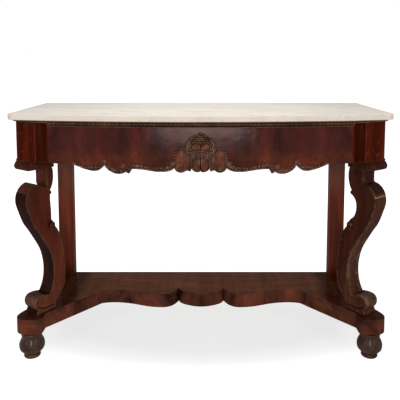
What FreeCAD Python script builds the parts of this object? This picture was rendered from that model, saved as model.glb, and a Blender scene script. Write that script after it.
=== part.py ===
"""Pier table with a bowed marble top, a scalloped frieze, two scroll legs and a serpentine platform.

Millimetres. +Z is up, +X is to the right of someone facing the table, and -Y is the front. The origin is on
the floor, under the middle of the table. Heights stack up from the floor, widths are taken from the middle,
and depths from the marble's front and back edges.
"""

import FreeCAD, Part
import math
import os

from FreeCAD import Placement, Rotation, Vector

SIZES = (
    # the marble
    ("marble_width", 1358, "across the front corners"),
    ("marble_depth", 555, "middle of the bowed front to the straight back"),
    ("marble_thickness", 21, "slab"),
    ("marble_corner", 32, "radius of the front corners in plan"),
    ("marble_arris", 3, "rounding of the slab's edges"),
    ("bow_radius", 3470, "the marble's front edge in plan"),
    # the frieze
    ("frieze_height", 153, "frieze boards, rails and corner blocks"),
    ("frieze_thickness", 22, "front board"),
    ("rail_thickness", 20, "side and back rails"),
    ("front_lip", 26, "marble's front edge to the frieze's face"),
    ("side_lip", 12, "marble's end to the side rail's face"),
    ("back_lip", 3, "marble's back edge to the back rail's face"),
    ("cant_run", 86, "canted face of a corner block, along X"),
    ("cant_rise", 62, "canted face of a corner block, along Y"),
    ("cant_setback", 134, "marble's front line to the outer edge of the canted face"),
    ("cove_run", 47, "hollow between a corner block and the bowed board"),
    ("cove_depth", 11, "how far that hollow goes in"),
    ("block_depth", 122, "corner block behind the outer edge of its canted face"),
    ("strip_drop", 22, "height of the carved moulding under the marble"),
    ("strip_projection", 18, "how far it stands out at the top"),
    ("strip_fillet", 5, "its plain upper edge"),
    ("cornice_drop", 12, "height of the plain moulding at the corners and sides"),
    ("cornice_projection", 12, "how far it stands out at the top"),
    ("batten_width", 40, "cross battens that carry the marble"),
    ("batten_thickness", 24, "cross battens"),
    ("batten_place", 230, "middle of the table to the middle of a batten"),
    ("glue_block", 32, "side of a square glue block"),
    ("glue_block_length", 90, "glue block in the frieze"),
    # the applied carving
    ("carving_relief", 6, "scroll edging of the apron"),
    ("cartouche_relief", 13, "cartouche at the middle"),
    # the legs
    ("leg_rise", 550, "top of the platform to the underside of the capital"),
    ("leg_thickness", 68, "the plank that a leg is sawn from"),
    ("leg_angle", 36.5, "between a leg's plane and the Y axis, in degrees"),
    ("leg_inset", 42, "side rail's face to a leg's reference line"),
    ("leg_setback", 143, "marble's front line to a leg's reference line"),
    ("leg_outset", 18, "a leg's middle plane to its reference line, square to the plane"),
    ("capital_height", 40, "cushion between a leg and its corner block"),
    ("capital_margin", 1, "how far the capital stands out beside the leg"),
    ("dowel_diameter", 12, "dowels at the ends of the legs"),
    ("dowel_depth", 24, "how far a dowel goes into each piece"),
    ("dowel_pitch", 32, "between the two dowels of a joint"),
    ("dowel_clearance", 0.1, "between a dowel and its hole, all round"),
    # the rear posts
    ("post_width", 64, "along X"),
    ("post_thickness", 40, "along Y"),
    ("post_inset", 41, "side rail's face to the post's outer side"),
    ("post_top_gap", 10, "top of a post to the marble"),
    ("screw_diameter", 5, "shank"),
    ("screw_head", 10, "head of a countersunk screw"),
    ("screw_length", 36, "head included"),
    ("screw_pitch", 80, "between the two screws of a post"),
    ("screw_clearance", 0.1, "between a screw and its hole, all round"),
    # the platform
    ("platform_thickness", 56.5, "board and frame together"),
    ("board_thickness", 16, "top board"),
    ("platform_setback", 327, "marble's front line to the middle of the serpentine front"),
    ("rail_depth", 30, "platform rails behind the deepest point of the front"),
    ("rear_corner_inset", 27, "side rail's face to the platform's rear corner"),
    ("arm_joint_inset", 237, "side rail's face to the joint of the front rail and an arm"),
    ("rear_joint_inset", 137, "side rail's face to the joint of the back rail and a rear block"),
    ("stretcher_width", 50, "middle stretcher under the board"),
    # the feet
    ("foot_height", 93.5, "floor to the underside of the platform"),
    ("foot_inset", 37, "side rail's face to the middle of a front foot"),
    ("foot_setback", 129, "marble's front line to the middle of a front foot"),
    ("rear_foot_inset", 50, "platform's rear corner to the middle of a rear foot"),
    ("rear_foot_setback", 64, "platform's back to the middle of a rear foot"),
    ("ball_radius", 46, "widest part of a foot"),
    ("pad_radius", 30, "what a foot stands on"),
    ("collar_radius", 37, "top of a foot"),
    ("spigot_radius", 11, "round tenon on top of a foot"),
    ("spigot_length", 34, "round tenon on top of a foot"),
    ("spigot_clearance", 0.1, "between a spigot and its hole, all round"),
)

# Scalloped lower edge of the apron, from the end of the scallops to the middle of the table: distance from
# the middle, and height above the frieze's lower edge. Lobes meet at cusps.
APRON_LOBES = (
    ((443, 0), (414, -12), (392, -18.5), (370, -22), (352, -19), (338, -9), (331, -3)),
    ((331, -3), (325, -12), (312, -22.5), (284, -31), (266, -28.5), (256, -22.5)),
    ((256, -22.5), (251, -28), (245, -28.5), (240, -20), (235, -13.5)),
    ((235, -13.5), (213, -13.7), (190, -16), (160, -21), (129, -22.2), (108, -19.5), (90, -9)),
    ((90, -9), (81, -21), (70, -25), (52, -20)),
    ((52, -20), (45, -17), (38, -20), (31, -9.5)),
    ((31, -9.5), (25, -18), (14, -23), (6, -23), (0, -18)),
)
LOBES_OF_CARTOUCHE = 3

# Upper edge of the scroll edging on the apron, inner end first.
EDGING_TOP = (
    (97, 6), (114, -2), (150, -6), (205, 2), (240, 8), (262, -6), (290, -14), (318, -2), (331, 14),
    (348, 4), (376, -6), (412, -2), (446, 8),
)

# Right half of the cartouche above the apron, from its peak: distance from the middle, and height above the
# frieze's lower edge.
CARTOUCHE_SIDE = (
    ((0, 115), (14, 108), (31, 98), (46, 86), (51, 70), (47, 58)),
    ((47, 58), (62, 62), (78, 54), (90, 40), (93, 18), (90, -9)),
)

# Serpentine front of the platform: distance from the middle, and depth in front of the middle of the front.
PLATFORM_MIDDLE_LOBE = (
    (-94, -55), (-74, -26), (-52, -13), (-26, -3.5), (0, 0), (26, -3.5), (52, -13), (74, -26), (94, -55),
)
PLATFORM_SIDE_LOBE = (
    (94, -55), (106, -28), (121, -9), (140, 2.5), (172, 5), (207, 0), (245, -12.5), (285, -27),
    (320, -35.5), (355, -39), (388, -37), (412, -30),
)
# Rounded end of an arm, round the middle of its foot: outwards, and backwards.
ARM_END = (
    (-44.5, -8), (-41, -19), (-30, -26), (0, -29), (30, -25), (47, -13), (55, 4), (53, 22), (45, 44),
    (30, 74), (20, 110), (18, 150),
)
ARM_INNER_CORNER = (-44, 24)

# A leg's outline in its own plane: distance outwards from the leg's reference line, and height above the
# platform.
LEG_KNEE = (
    (-16, 496), (7, 486), (22, 469), (30, 446), (30, 424), (20, 392), (0, 342), (-22, 308), (-45, 270),
    (-68, 228), (-81, 184), (-85, 141), (-81, 107), (-73, 82), (-62, 62),
)
LEG_TOE = ((-62, 62), (-42, 66.5), (-21, 67.5), (-4, 62), (4, 44), (0, 28), (-9, 16))
LEG_FOOT = ((-9, 16), (-5, 8), (-3, 0))
LEG_HEEL = ((-96, 0), (-87, 12), (-97, 30), (-113, 50), (-131, 74), (-138, 110), (-139, 150), (-135, 196))
LEG_SHIN = ((-135, 196), (-131, 230), (-119, 276), (-106, 306), (-96, 320))
LEG_SPUR_TO_WAIST = (
    ((-96, 320), (-95, 334)),
    ((-95, 334), (-84, 344), (-79, 352)),
)
LEG_TIP = ((-76, 446), (-83, 452), (-77, 463))
LEG_NAPE = ((-77, 463), (-87, 483), (-92, 506), (-92, 530), (-88, 550))
LEG_TOP = LEG_NAPE[-1][1]

# What differs between the two hand-sawn legs: how far in the neck is cut in front, the hollow over the knee,
# the inner edge between spur and tip, and where the upper dowels stand.
LEG_SIDES = {
    "left": {
        "neck": -62,
        "hollow": ((-62, 486), (-64, 476), (-54, 478), (-42, 483), (-28, 489), (-16, 496)),
        "waist": ((-79, 352), (-79, 385), (-77, 415), (-76, 446)),
        "dowels": -77,
    },
    "right": {
        "neck": -24,
        "hollow": ((-24, 506), (-22, 498), (-16, 496)),
        "waist": ((-79, 352), (-62, 368), (-54, 395), (-56, 422), (-76, 446)),
        "dowels": -57,
    },
}
SOLE_DOWELS = -48

# Front of the capital: distance outwards from the leg's reference line, and height in the capital.
CAPITAL_FRONT = ((20, 40), (19, 32), (26, 24), (29, 15), (26, 6), (16, 0))
CAPITAL_BACK = -95
CAPITAL_TOP = CAPITAL_FRONT[0][1]

# Right half of a foot's profile from the floor up: what the radius is taken from, a part to add, and height.
FOOT_PAD = (("pad_radius", -4, 0), ("pad_radius", 0, 4), ("pad_radius", 0, 9), ("pad_radius", -2, 13))
FOOT_BALL = (
    ("pad_radius", -2, 13), ("ball_radius", -13, 20), ("ball_radius", -3, 31), ("ball_radius", 0, 44),
    ("ball_radius", -1, 55), ("ball_radius", -6, 67), ("collar_radius", -2, 77),
)
FOOT_COLLAR = (("collar_radius", -2, 77), ("collar_radius", 0, 83), ("collar_radius", 0, 93.5))
FOOT_TOP = FOOT_COLLAR[-1][2]

# Points closer than this are the same corner.
SAME_PLACE = 1e-6

doc = FreeCAD.newDocument("pier_table")
sheet = doc.addObject("Spreadsheet::Sheet", "Sizes")
size = {}
for row, (alias, value, note) in enumerate(SIZES, start=1):
    sheet.set("A%d" % row, alias)
    sheet.set("B%d" % row, str(value))
    sheet.set("C%d" % row, note)
    sheet.setAlias("B%d" % row, alias)
doc.recompute()
for alias, value, note in SIZES:
    size[alias] = float(sheet.get(alias))

# Heights.
platform_bottom = size["foot_height"]
platform_top = platform_bottom + size["platform_thickness"]
board_bottom = platform_top - size["board_thickness"]
capital_bottom = platform_top + size["leg_rise"]
frieze_bottom = capital_bottom + size["capital_height"]
frieze_top = frieze_bottom + size["frieze_height"]

# Depths and widths.
marble_front = -size["marble_depth"] / 2
marble_back = size["marble_depth"] / 2
half_marble = size["marble_width"] / 2
bow_centre = marble_front + size["bow_radius"]
face_radius = size["bow_radius"] - size["front_lip"]
board_radius = face_radius - size["frieze_thickness"]
side_face = half_marble - size["side_lip"]
back_face = marble_back - size["back_lip"]
back_rail_front = back_face - size["rail_thickness"]
platform_back = back_face
platform_front = marble_front + size["platform_setback"]
foot_x = side_face - size["foot_inset"]
foot_y = marble_front + size["foot_setback"]
leg_x = side_face - size["leg_inset"]
leg_y = marble_front + size["leg_setback"]
rear_x = side_face - size["rear_corner_inset"]
rear_foot_x = rear_x - size["rear_foot_inset"]
rear_foot_y = platform_back - size["rear_foot_setback"]
cant_outer = Vector(side_face, marble_front + size["cant_setback"], 0)
cant_inner = cant_outer - Vector(size["cant_run"], size["cant_rise"], 0)
board_end = cant_inner.x - size["cove_run"]
block_back = cant_outer.y + size["block_depth"]
post_outer = side_face - size["post_inset"]
post_inner = post_outer - size["post_width"]
post_front = back_face - size["post_thickness"]

subparts = []


def keep(thing, label):
    """Names a finished sub-part and lists it for writing."""
    thing.Label = label
    subparts.append(thing)
    return thing


def bind(thing, prop, expression):
    thing.setExpression(prop, expression)


def bow_y(radius, x):
    """Y of the bow of this radius at a distance from the middle."""
    return bow_centre - math.sqrt(radius**2 - x**2)


def line(a, b):
    return Part.LineSegment(Vector(*a[:2], 0), Vector(*b[:2], 0))


def curve(points):
    """A smooth curve through points of a sketch, or a line when there are two."""
    places = [Vector(p[0], p[1], 0) for p in points]
    if len(places) == 2:
        return Part.LineSegment(*places)
    spline = Part.BSplineCurve()
    spline.interpolate(places)
    return spline


def plane_of(body, role):
    return [f for f in body.Origin.OriginFeatures if f.Role == role][0]


def new_body(name):
    return doc.addObject("PartDesign::Body", name)


def new_sketch(body, role, geometry, lift=0.0):
    """A closed sketch on one of the body's origin planes, raised along the plane's normal."""
    sketch = body.newObject("Sketcher::SketchObject", body.Name + "_sketch")
    sketch.AttachmentSupport = [(plane_of(body, role), "")]
    sketch.MapMode = "FlatFace"
    sketch.AttachmentOffset = Placement(Vector(0, 0, lift), Rotation())
    sketch.addGeometry(geometry, False)
    return sketch


def pad(body, sketch, length, midplane=False):
    """Pads a sketch by a number or by an expression of the sheet's sizes."""
    feature = body.newObject("PartDesign::Pad", body.Name + "_pad")
    feature.Profile = sketch
    feature.Midplane = midplane
    bind(feature, "Length", length)
    return feature


def flat_body(name, geometry, bottom, thickness):
    """A board or block sawn to a plan outline. thickness is an expression."""
    body = new_body(name)
    pad(body, new_sketch(body, "XY_Plane", geometry), thickness)
    body.Placement = Placement(Vector(0, 0, bottom), Rotation())
    return body


def box(name, low, high):
    """A rectangular piece between two corners."""
    thing = doc.addObject("Part::Box", name)
    thing.Length = high[0] - low[0]
    thing.Width = high[1] - low[1]
    thing.Height = high[2] - low[2]
    thing.Placement = Placement(Vector(*low), Rotation())
    return thing


def cylinder(name, radius, height, place, direction=Vector(0, 0, 1)):
    thing = doc.addObject("Part::Cylinder", name)
    thing.Radius = radius
    thing.Height = height
    thing.Placement = Placement(place, Rotation(Vector(0, 0, 1), direction))
    return thing


def boolean(kind, name, base, tool):
    thing = doc.addObject("Part::" + kind, name)
    thing.Base = base
    thing.Tool = tool
    return thing


def group(name, things):
    """Several separate solids in one sub-part."""
    thing = doc.addObject("Part::Compound", name)
    thing.Links = things
    return thing


def drilled(name, base, holes):
    return boolean("Cut", name, base, group(name + "_holes", holes))


def hand(sign):
    return "right" if sign > 0 else "left"


# ---------------------------------------------------------------- marble top


def marble_outline():
    """Straight back and ends, bowed front, rounded front corners."""
    r = size["marble_corner"]
    centre_radius = size["bow_radius"] - r
    cx = half_marble - r
    cy = bow_centre - math.sqrt(centre_radius**2 - cx**2)
    lean = math.asin(cx / centre_radius)
    touch = (cx + r * math.sin(lean), cy - r * math.cos(lean))
    middle = (lean + math.pi / 2) / 2
    bend = (cx + r * math.sin(middle), cy - r * math.cos(middle))
    flat = (half_marble, cy)
    back = (half_marble, marble_back)

    def point(p, sign):
        return Vector(sign * p[0], p[1], 0)

    return [
        Part.Arc(point(touch, -1), Vector(0, marble_front, 0), point(touch, 1)),
        Part.Arc(point(touch, 1), point(bend, 1), point(flat, 1)),
        Part.LineSegment(point(flat, 1), point(back, 1)),
        Part.LineSegment(point(back, 1), point(back, -1)),
        Part.LineSegment(point(back, -1), point(flat, -1)),
        Part.Arc(point(flat, -1), point(bend, -1), point(touch, -1)),
    ]


def make_marble():
    body = flat_body("Marble", marble_outline(), frieze_top, "Sizes.marble_thickness")
    doc.recompute()
    slab = body.Tip
    rims = [
        "Edge%d" % n
        for n, edge in enumerate(slab.Shape.Edges, start=1)
        if abs(edge.BoundBox.ZMax - edge.BoundBox.ZMin) < SAME_PLACE
    ]
    arris = body.newObject("PartDesign::Fillet", "Marble_arris")
    arris.Base = (slab, rims)
    bind(arris, "Radius", "Sizes.marble_arris")
    keep(body, "marble_top")


# ---------------------------------------------------------------- frieze


def bowed_panel(name, geometry, inner, outer):
    """A panel between two bows, with a front outline drawn in X and Z."""
    body = new_body(name + "_outline")
    reach = abs(marble_front) + size["cant_setback"]
    feature = pad(body, new_sketch(body, "XZ_Plane", geometry), "%f" % reach)
    feature.Reversed = False
    body.Placement = Placement(Vector(0, marble_front + reach - size["cant_setback"] / 2, 0), Rotation())
    height = frieze_top
    centre = Vector(0, bow_centre, 0)
    skin = cylinder(name + "_face", outer, height, centre)
    core = cylinder(name + "_back", inner, height, centre)
    ring = boolean("Cut", name + "_ring", skin, core)
    return boolean("Common", name, ring, body)


def apron_edge(lobes, sign=1):
    """Curves of the scalloped edge on one side, in X and Z."""
    return [curve([(sign * x, frieze_bottom + z) for x, z in lobe]) for lobe in lobes]


def make_frieze_front():
    start = (APRON_LOBES[0][0][0], frieze_bottom)
    corner = (board_end, frieze_bottom)
    top = (board_end, frieze_top)
    outline = apron_edge(APRON_LOBES) + apron_edge(APRON_LOBES, -1)
    outline += [line(start, corner), line(corner, top), line(top, (-top[0], top[1]))]
    outline += [line((-top[0], top[1]), (-corner[0], corner[1]))]
    outline += [line((-corner[0], corner[1]), (-start[0], start[1]))]
    keep(bowed_panel("FriezeFront", outline, board_radius, face_radius), "frieze_front")


def make_apron_carving(sign):
    lobes = APRON_LOBES[:-LOBES_OF_CARTOUCHE]
    upper = [(sign * x, frieze_bottom + z) for x, z in EDGING_TOP]
    outer_foot = (sign * lobes[0][0][0], frieze_bottom + lobes[0][0][1])
    inner_foot = (sign * lobes[-1][-1][0], frieze_bottom + lobes[-1][-1][1])
    outline = apron_edge(lobes, sign)
    outline += [curve(upper), line(upper[-1], outer_foot), line(inner_foot, upper[0])]
    outer = face_radius + size["carving_relief"]
    name = "ApronCarving" + hand(sign).capitalize()
    keep(bowed_panel(name, outline, face_radius, outer), "apron_carving_" + hand(sign))


def make_cartouche():
    lobes = APRON_LOBES[-LOBES_OF_CARTOUCHE:]
    outline = apron_edge(lobes) + apron_edge(lobes, -1)
    for sign in (1, -1):
        outline += apron_edge(CARTOUCHE_SIDE, sign)
    outer = face_radius + size["cartouche_relief"]
    keep(bowed_panel("Cartouche", outline, face_radius, outer), "cartouche")


def hollow_middle():
    """Deepest point of the hollow between a canted face and the bowed board."""
    edge_y = bow_y(face_radius, board_end)
    return Vector((cant_inner.x + board_end) / 2, (cant_inner.y + edge_y) / 2 + size["cove_depth"], 0)


def make_corner_block(sign):
    """Canted face, then a hollow that leads to the bowed board."""
    face_end = (board_end, bow_y(face_radius, board_end))
    board_back = (board_end, bow_y(board_radius, board_end))
    outer_back = (cant_outer.x, block_back)
    inner_back = (board_end, block_back)

    def point(p):
        return Vector(sign * p[0], p[1], 0)

    corners = [face_end, board_back, inner_back, outer_back, cant_outer, cant_inner]
    geometry = [Part.LineSegment(point(a), point(b)) for a, b in zip(corners, corners[1:])]
    geometry.append(Part.Arc(point(cant_inner), point(hollow_middle()), point(face_end)))
    name = "CornerBlock" + hand(sign).capitalize()
    body = flat_body(name, geometry, frieze_bottom, "Sizes.frieze_height")
    holes = dowel_holes(name, sign, frieze_bottom, 0, size["dowel_depth"], LEG_SIDES[hand(sign)]["dowels"])
    keep(drilled(name + "_drilled", body, holes), "corner_block_" + hand(sign))


def make_rails():
    for sign in (1, -1):
        x = sorted((sign * side_face, sign * (side_face - size["rail_thickness"])))
        name = "SideRail" + hand(sign).capitalize()
        low = (x[0], block_back, frieze_bottom)
        keep(box(name, low, (x[1], back_face, frieze_top)), "side_rail_" + hand(sign))
    inside = side_face - size["rail_thickness"]
    low = (-inside, back_rail_front, frieze_bottom)
    rail = box("BackRail", low, (inside, back_face, frieze_top))
    keep(drilled("BackRail_drilled", rail, screw_holes("BackRail")), "back_rail")


def make_battens():
    """Each touches the bowed board at the edge that is further from the middle."""
    half = size["batten_width"] / 2
    for sign in (1, -1):
        middle = sign * size["batten_place"]
        start = bow_y(board_radius, size["batten_place"] + half)
        low = (middle - half, start, frieze_top - size["batten_thickness"])
        high = (middle + half, back_rail_front, frieze_top)
        keep(box("Batten" + hand(sign).capitalize(), low, high), "batten_" + hand(sign))


def make_frieze_glue_blocks():
    """One between each post and its side rail, and one beside each corner block."""
    side = size["glue_block"]
    bottom = frieze_bottom + (size["frieze_height"] - size["glue_block_length"]) / 2
    top = bottom + size["glue_block_length"]
    inside = side_face - size["rail_thickness"]
    board_back = bow_y(board_radius, board_end)
    blocks = []
    for sign in (1, -1):
        for x, y in ((inside - side, post_front - side), (board_end - side, board_back)):
            xs = sorted((sign * x, sign * (x + side)))
            name = "GlueBlock%d" % len(blocks)
            blocks.append(box(name, (xs[0], y, bottom), (xs[1], y + side, top)))
    keep(group("FriezeGlueBlocks", blocks), "frieze_glue_blocks")


# ---------------------------------------------------------------- mouldings under the marble


def make_front_cornice():
    """Carved moulding: a plain edge, then a quarter round that runs down to the frieze's face."""
    body = new_body("CorniceFront")
    face = -face_radius
    nose = face - size["strip_projection"]
    top = frieze_top
    shelf = top - size["strip_fillet"]
    bottom = top - size["strip_drop"]
    bulge = (face + (nose - face) * 0.72, bottom + (shelf - bottom) * 0.3)
    geometry = [
        line((face, top), (nose, top)),
        line((nose, top), (nose, shelf)),
        Part.Arc(Vector(nose, shelf, 0), Vector(*bulge, 0), Vector(face, bottom, 0)),
        line((face, bottom), (face, top)),
    ]
    sketch = new_sketch(body, "YZ_Plane", geometry)
    turn = body.newObject("PartDesign::Revolution", "CorniceFront_turn")
    turn.Profile = sketch
    turn.ReferenceAxis = (sketch, ["V_Axis"])
    turn.Midplane = True
    turn.Angle = 2 * math.degrees(math.asin(board_end / face_radius))
    body.Placement = Placement(Vector(0, bow_centre, 0), Rotation())
    keep(body, "cornice_front")


def make_cornice_run(name, label, inner, outer, inner_edge):
    """A straight length of plain moulding: its plan, and a quarter round along its lower outer edge."""
    geometry = [line(inner[1], outer[1]), line(outer[1], outer[0]), line(outer[0], inner[0]), inner_edge]
    body = flat_body(name, geometry, frieze_top - size["cornice_drop"], "Sizes.cornice_drop")
    doc.recompute()
    block = body.Tip
    low = [Vector(*p, 0) for p in outer]
    rims = []
    for n, edge in enumerate(block.Shape.Edges, start=1):
        ends = [v.Point for v in edge.Vertexes]
        if all(abs(p.z) < SAME_PLACE and min((p - q).Length for q in low) < SAME_PLACE for p in ends):
            rims.append("Edge%d" % n)
    quarter = body.newObject("PartDesign::Fillet", name + "_round")
    quarter.Base = (block, rims)
    bind(quarter, "Radius", "min(Sizes.cornice_drop; Sizes.cornice_projection) * 0.8")
    keep(body, label)


def make_plain_cornices():
    """Over the hollow, round the canted face and along the side, mitred where they meet."""
    out = size["cornice_projection"]
    face_end = Vector(board_end, bow_y(face_radius, board_end), 0)
    path = [face_end, cant_inner, cant_outer, Vector(side_face, back_face, 0)]
    normals = []
    for a, b in zip(path, path[1:]):
        run = (b - a).normalize()
        normals.append(Vector(run.y, -run.x, 0))
    radial = (face_end - Vector(0, bow_centre, 0)).normalize()
    outer = [face_end + radial * (out / radial.dot(normals[0]))]
    for corner, before, after in zip(path[1:], normals, normals[1:]):
        mitre = (before + after).normalize()
        outer.append(corner + mitre * (out / mitre.dot(before)))
    outer.append(path[-1] + normals[-1] * out)
    for sign in (1, -1):
        def p(v):
            return (sign * v[0], v[1])

        hollow = Part.Arc(*[Vector(*p(v), 0) for v in (face_end, hollow_middle(), cant_inner)])
        edges = [hollow, line(p(path[1]), p(path[2])), line(p(path[2]), p(path[3]))]
        for n, part in enumerate(("return", "corner", "side")):
            label = "cornice_%s_%s" % (part, hand(sign))
            inner = (p(path[n]), p(path[n + 1]))
            make_cornice_run(label.title().replace("_", ""), label, inner, (p(outer[n]), p(outer[n + 1])), edges[n])


# ---------------------------------------------------------------- legs and capitals


def leg_turn(sign):
    """Turns a leg's own X axis outwards along its plane."""
    return Rotation(Vector(0, 0, 1), sign * (size["leg_angle"] - 90) + (0 if sign > 0 else 180))


def leg_place(sign, height):
    """The leg's reference line, where its middle plane meets it."""
    across = leg_turn(sign).multVec(Vector(0, 1, 0)) * (sign * size["leg_outset"])
    return Placement(Vector(sign * leg_x, leg_y, height) + across, leg_turn(sign))


def dowel_holes(name, sign, level, below, above, place):
    """Holes for the two dowels of a joint at this height, in row across the leg."""
    radius = size["dowel_diameter"] / 2 + size["dowel_clearance"]
    return dowel_pair(name + "_hole", sign, level, below, above, place, radius)


def dowel_pair(name, sign, level, below, above, place, radius):
    pins = []
    for side in (-1, 1):
        at = leg_place(sign, level - below).multVec(Vector(place, side * size["dowel_pitch"] / 2, 0))
        pins.append(cylinder(name + ("A" if side < 0 else "B"), radius, below + above, at))
    return pins


def make_leg(sign):
    shape = LEG_SIDES[hand(sign)]
    stretch = size["leg_rise"] / LEG_TOP

    def drawn(points):
        return [(o, z * stretch) for o, z in points]

    runs = [shape["hollow"], LEG_KNEE, LEG_TOE, LEG_FOOT, LEG_HEEL, LEG_SHIN]
    runs += list(LEG_SPUR_TO_WAIST) + [shape["waist"], LEG_TIP, LEG_NAPE]
    geometry = [curve(drawn(points)) for points in runs]
    geometry.append(line(drawn([LEG_FOOT[-1]])[0], drawn([LEG_HEEL[0]])[0]))
    geometry.append(line(drawn([LEG_NAPE[-1]])[0], drawn([(shape["neck"], LEG_TOP)])[0]))
    geometry.append(line(drawn([(shape["neck"], LEG_TOP)])[0], drawn([shape["hollow"][0]])[0]))
    name = "Leg" + hand(sign).capitalize()
    body = new_body(name)
    pad(body, new_sketch(body, "XZ_Plane", geometry), "Sizes.leg_thickness", midplane=True)
    body.Placement = leg_place(sign, platform_top)
    deep = size["dowel_depth"]
    holes = dowel_holes(name + "_upper", sign, capital_bottom, deep, 0, shape["dowels"])
    holes += dowel_holes(name + "_lower", sign, platform_top, 0, deep, SOLE_DOWELS)
    keep(drilled(name + "_drilled", body, holes), "leg_" + hand(sign))


def make_capital(sign):
    stretch = size["capital_height"] / CAPITAL_TOP
    front = [(o, z * stretch) for o, z in CAPITAL_FRONT]
    back_top = (CAPITAL_BACK, front[0][1])
    back_bottom = (CAPITAL_BACK, 0)
    geometry = [curve(front[:2]), curve(front[1:])]
    geometry += [line(front[-1], back_bottom), line(back_bottom, back_top), line(back_top, front[0])]
    name = "Capital" + hand(sign).capitalize()
    body = new_body(name)
    width = "Sizes.leg_thickness + 2 * Sizes.capital_margin"
    pad(body, new_sketch(body, "XZ_Plane", geometry), width, midplane=True)
    body.Placement = leg_place(sign, capital_bottom)
    place = LEG_SIDES[hand(sign)]["dowels"]
    holes = dowel_holes(name, sign, capital_bottom, 0, size["capital_height"], place)
    keep(drilled(name + "_drilled", body, holes), "capital_" + hand(sign))


def make_leg_dowels():
    """Long ones through the capitals, short ones under the soles."""
    radius = size["dowel_diameter"] / 2
    deep = size["dowel_depth"]
    pins = []
    for sign in (1, -1):
        side = hand(sign)
        name = "Dowel" + side.capitalize()
        place = LEG_SIDES[side]["dowels"]
        above = size["capital_height"] + deep
        pins += dowel_pair(name + "Upper", sign, capital_bottom, deep, above, place, radius)
        pins += dowel_pair(name + "Lower", sign, platform_top, deep, deep, SOLE_DOWELS, radius)
    keep(group("LegDowels", pins), "leg_dowels")


# ---------------------------------------------------------------- rear posts


def screw_places():
    """Where the screws through the back rail stand, and their heights."""
    middle = frieze_bottom + size["frieze_height"] / 2
    xs = [sign * (post_outer + post_inner) / 2 for sign in (1, -1)]
    zs = [middle + side * size["screw_pitch"] / 2 for side in (1, -1)]
    return [(x, z) for x in xs for z in zs]


def screw_cone(name, place, radius, depth):
    cone = doc.addObject("Part::Cone", name)
    cone.Radius1 = radius
    cone.Radius2 = size["screw_diameter"] / 2
    cone.Height = depth
    cone.Placement = Placement(place, Rotation(Vector(0, 0, 1), Vector(0, -1, 0)))
    return cone


def screw_holes(name):
    """Countersunk holes from the back."""
    play = size["screw_clearance"]
    head = size["screw_head"] / 2
    inward = Vector(0, -1, 0)
    holes = []
    for n, (x, z) in enumerate(screw_places()):
        at = Vector(x, back_face, z)
        holes.append(screw_cone("%s_sink%d" % (name, n), at, head + play, head))
        long = size["screw_length"] + play
        radius = size["screw_diameter"] / 2 + play
        holes.append(cylinder("%s_bore%d" % (name, n), radius, long, at, inward))
    return holes


def make_posts():
    """Flush with the table's back, and lapped at the top where the back rail crosses them."""
    for sign in (1, -1):
        xs = sorted((sign * post_inner, sign * post_outer))
        name = "Post" + hand(sign).capitalize()
        top = frieze_top - size["post_top_gap"]
        stock = box(name, (xs[0], post_front, platform_top), (xs[1], back_face, top))
        lap = box(name + "_lap", (xs[0], back_rail_front, frieze_bottom), (xs[1], back_face, top))
        post = boolean("Cut", name + "_lapped", stock, lap)
        keep(drilled(name + "_drilled", post, screw_holes(name)), "post_" + hand(sign))


def make_post_screws():
    screws = []
    head = size["screw_head"] / 2
    for n, (x, z) in enumerate(screw_places()):
        at = Vector(x, back_face, z)
        cone = screw_cone("Screw%d_head" % n, at, head, head)
        shank = cylinder("Screw%d_shank" % n, size["screw_diameter"] / 2, size["screw_length"], at, Vector(0, -1, 0))
        screws.append(boolean("Fuse", "Screw%d" % n, cone, shank))
    keep(group("PostScrews", screws), "post_screws")


# ---------------------------------------------------------------- platform


def platform_outline():
    """Serpentine front, arms with rounded ends, straight back."""
    def front(points):
        return [(x, platform_front - dy) for x, dy in points]

    def end(points):
        return [(foot_x + x, foot_y + y) for x, y in points]

    lobe = front(PLATFORM_SIDE_LOBE)
    corner = end([ARM_INNER_CORNER])[0]
    tip = end(ARM_END)
    rear = (rear_x, platform_back)
    geometry = [curve(front(PLATFORM_MIDDLE_LOBE))]
    for sign in (1, -1):
        def p(points):
            return [(sign * x, y) for x, y in points]

        geometry += [curve(p(lobe)), line(*p([lobe[-1], corner])), line(*p([corner, tip[0]])), curve(p(tip))]
        geometry.append(line(*p([tip[-1], rear])))
    geometry.append(line((-rear[0], rear[1]), rear))
    return geometry


def frame_piece(name, low, high):
    """What a rectangle cuts out of the platform's outline, under the board."""
    body = flat_body(name + "_outline", platform_outline(), platform_bottom,
                     "Sizes.platform_thickness - Sizes.board_thickness")
    region = box(name + "_region", (low[0], low[1], platform_bottom), (high[0], high[1], board_bottom))
    return boolean("Common", name, body, region)


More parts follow.
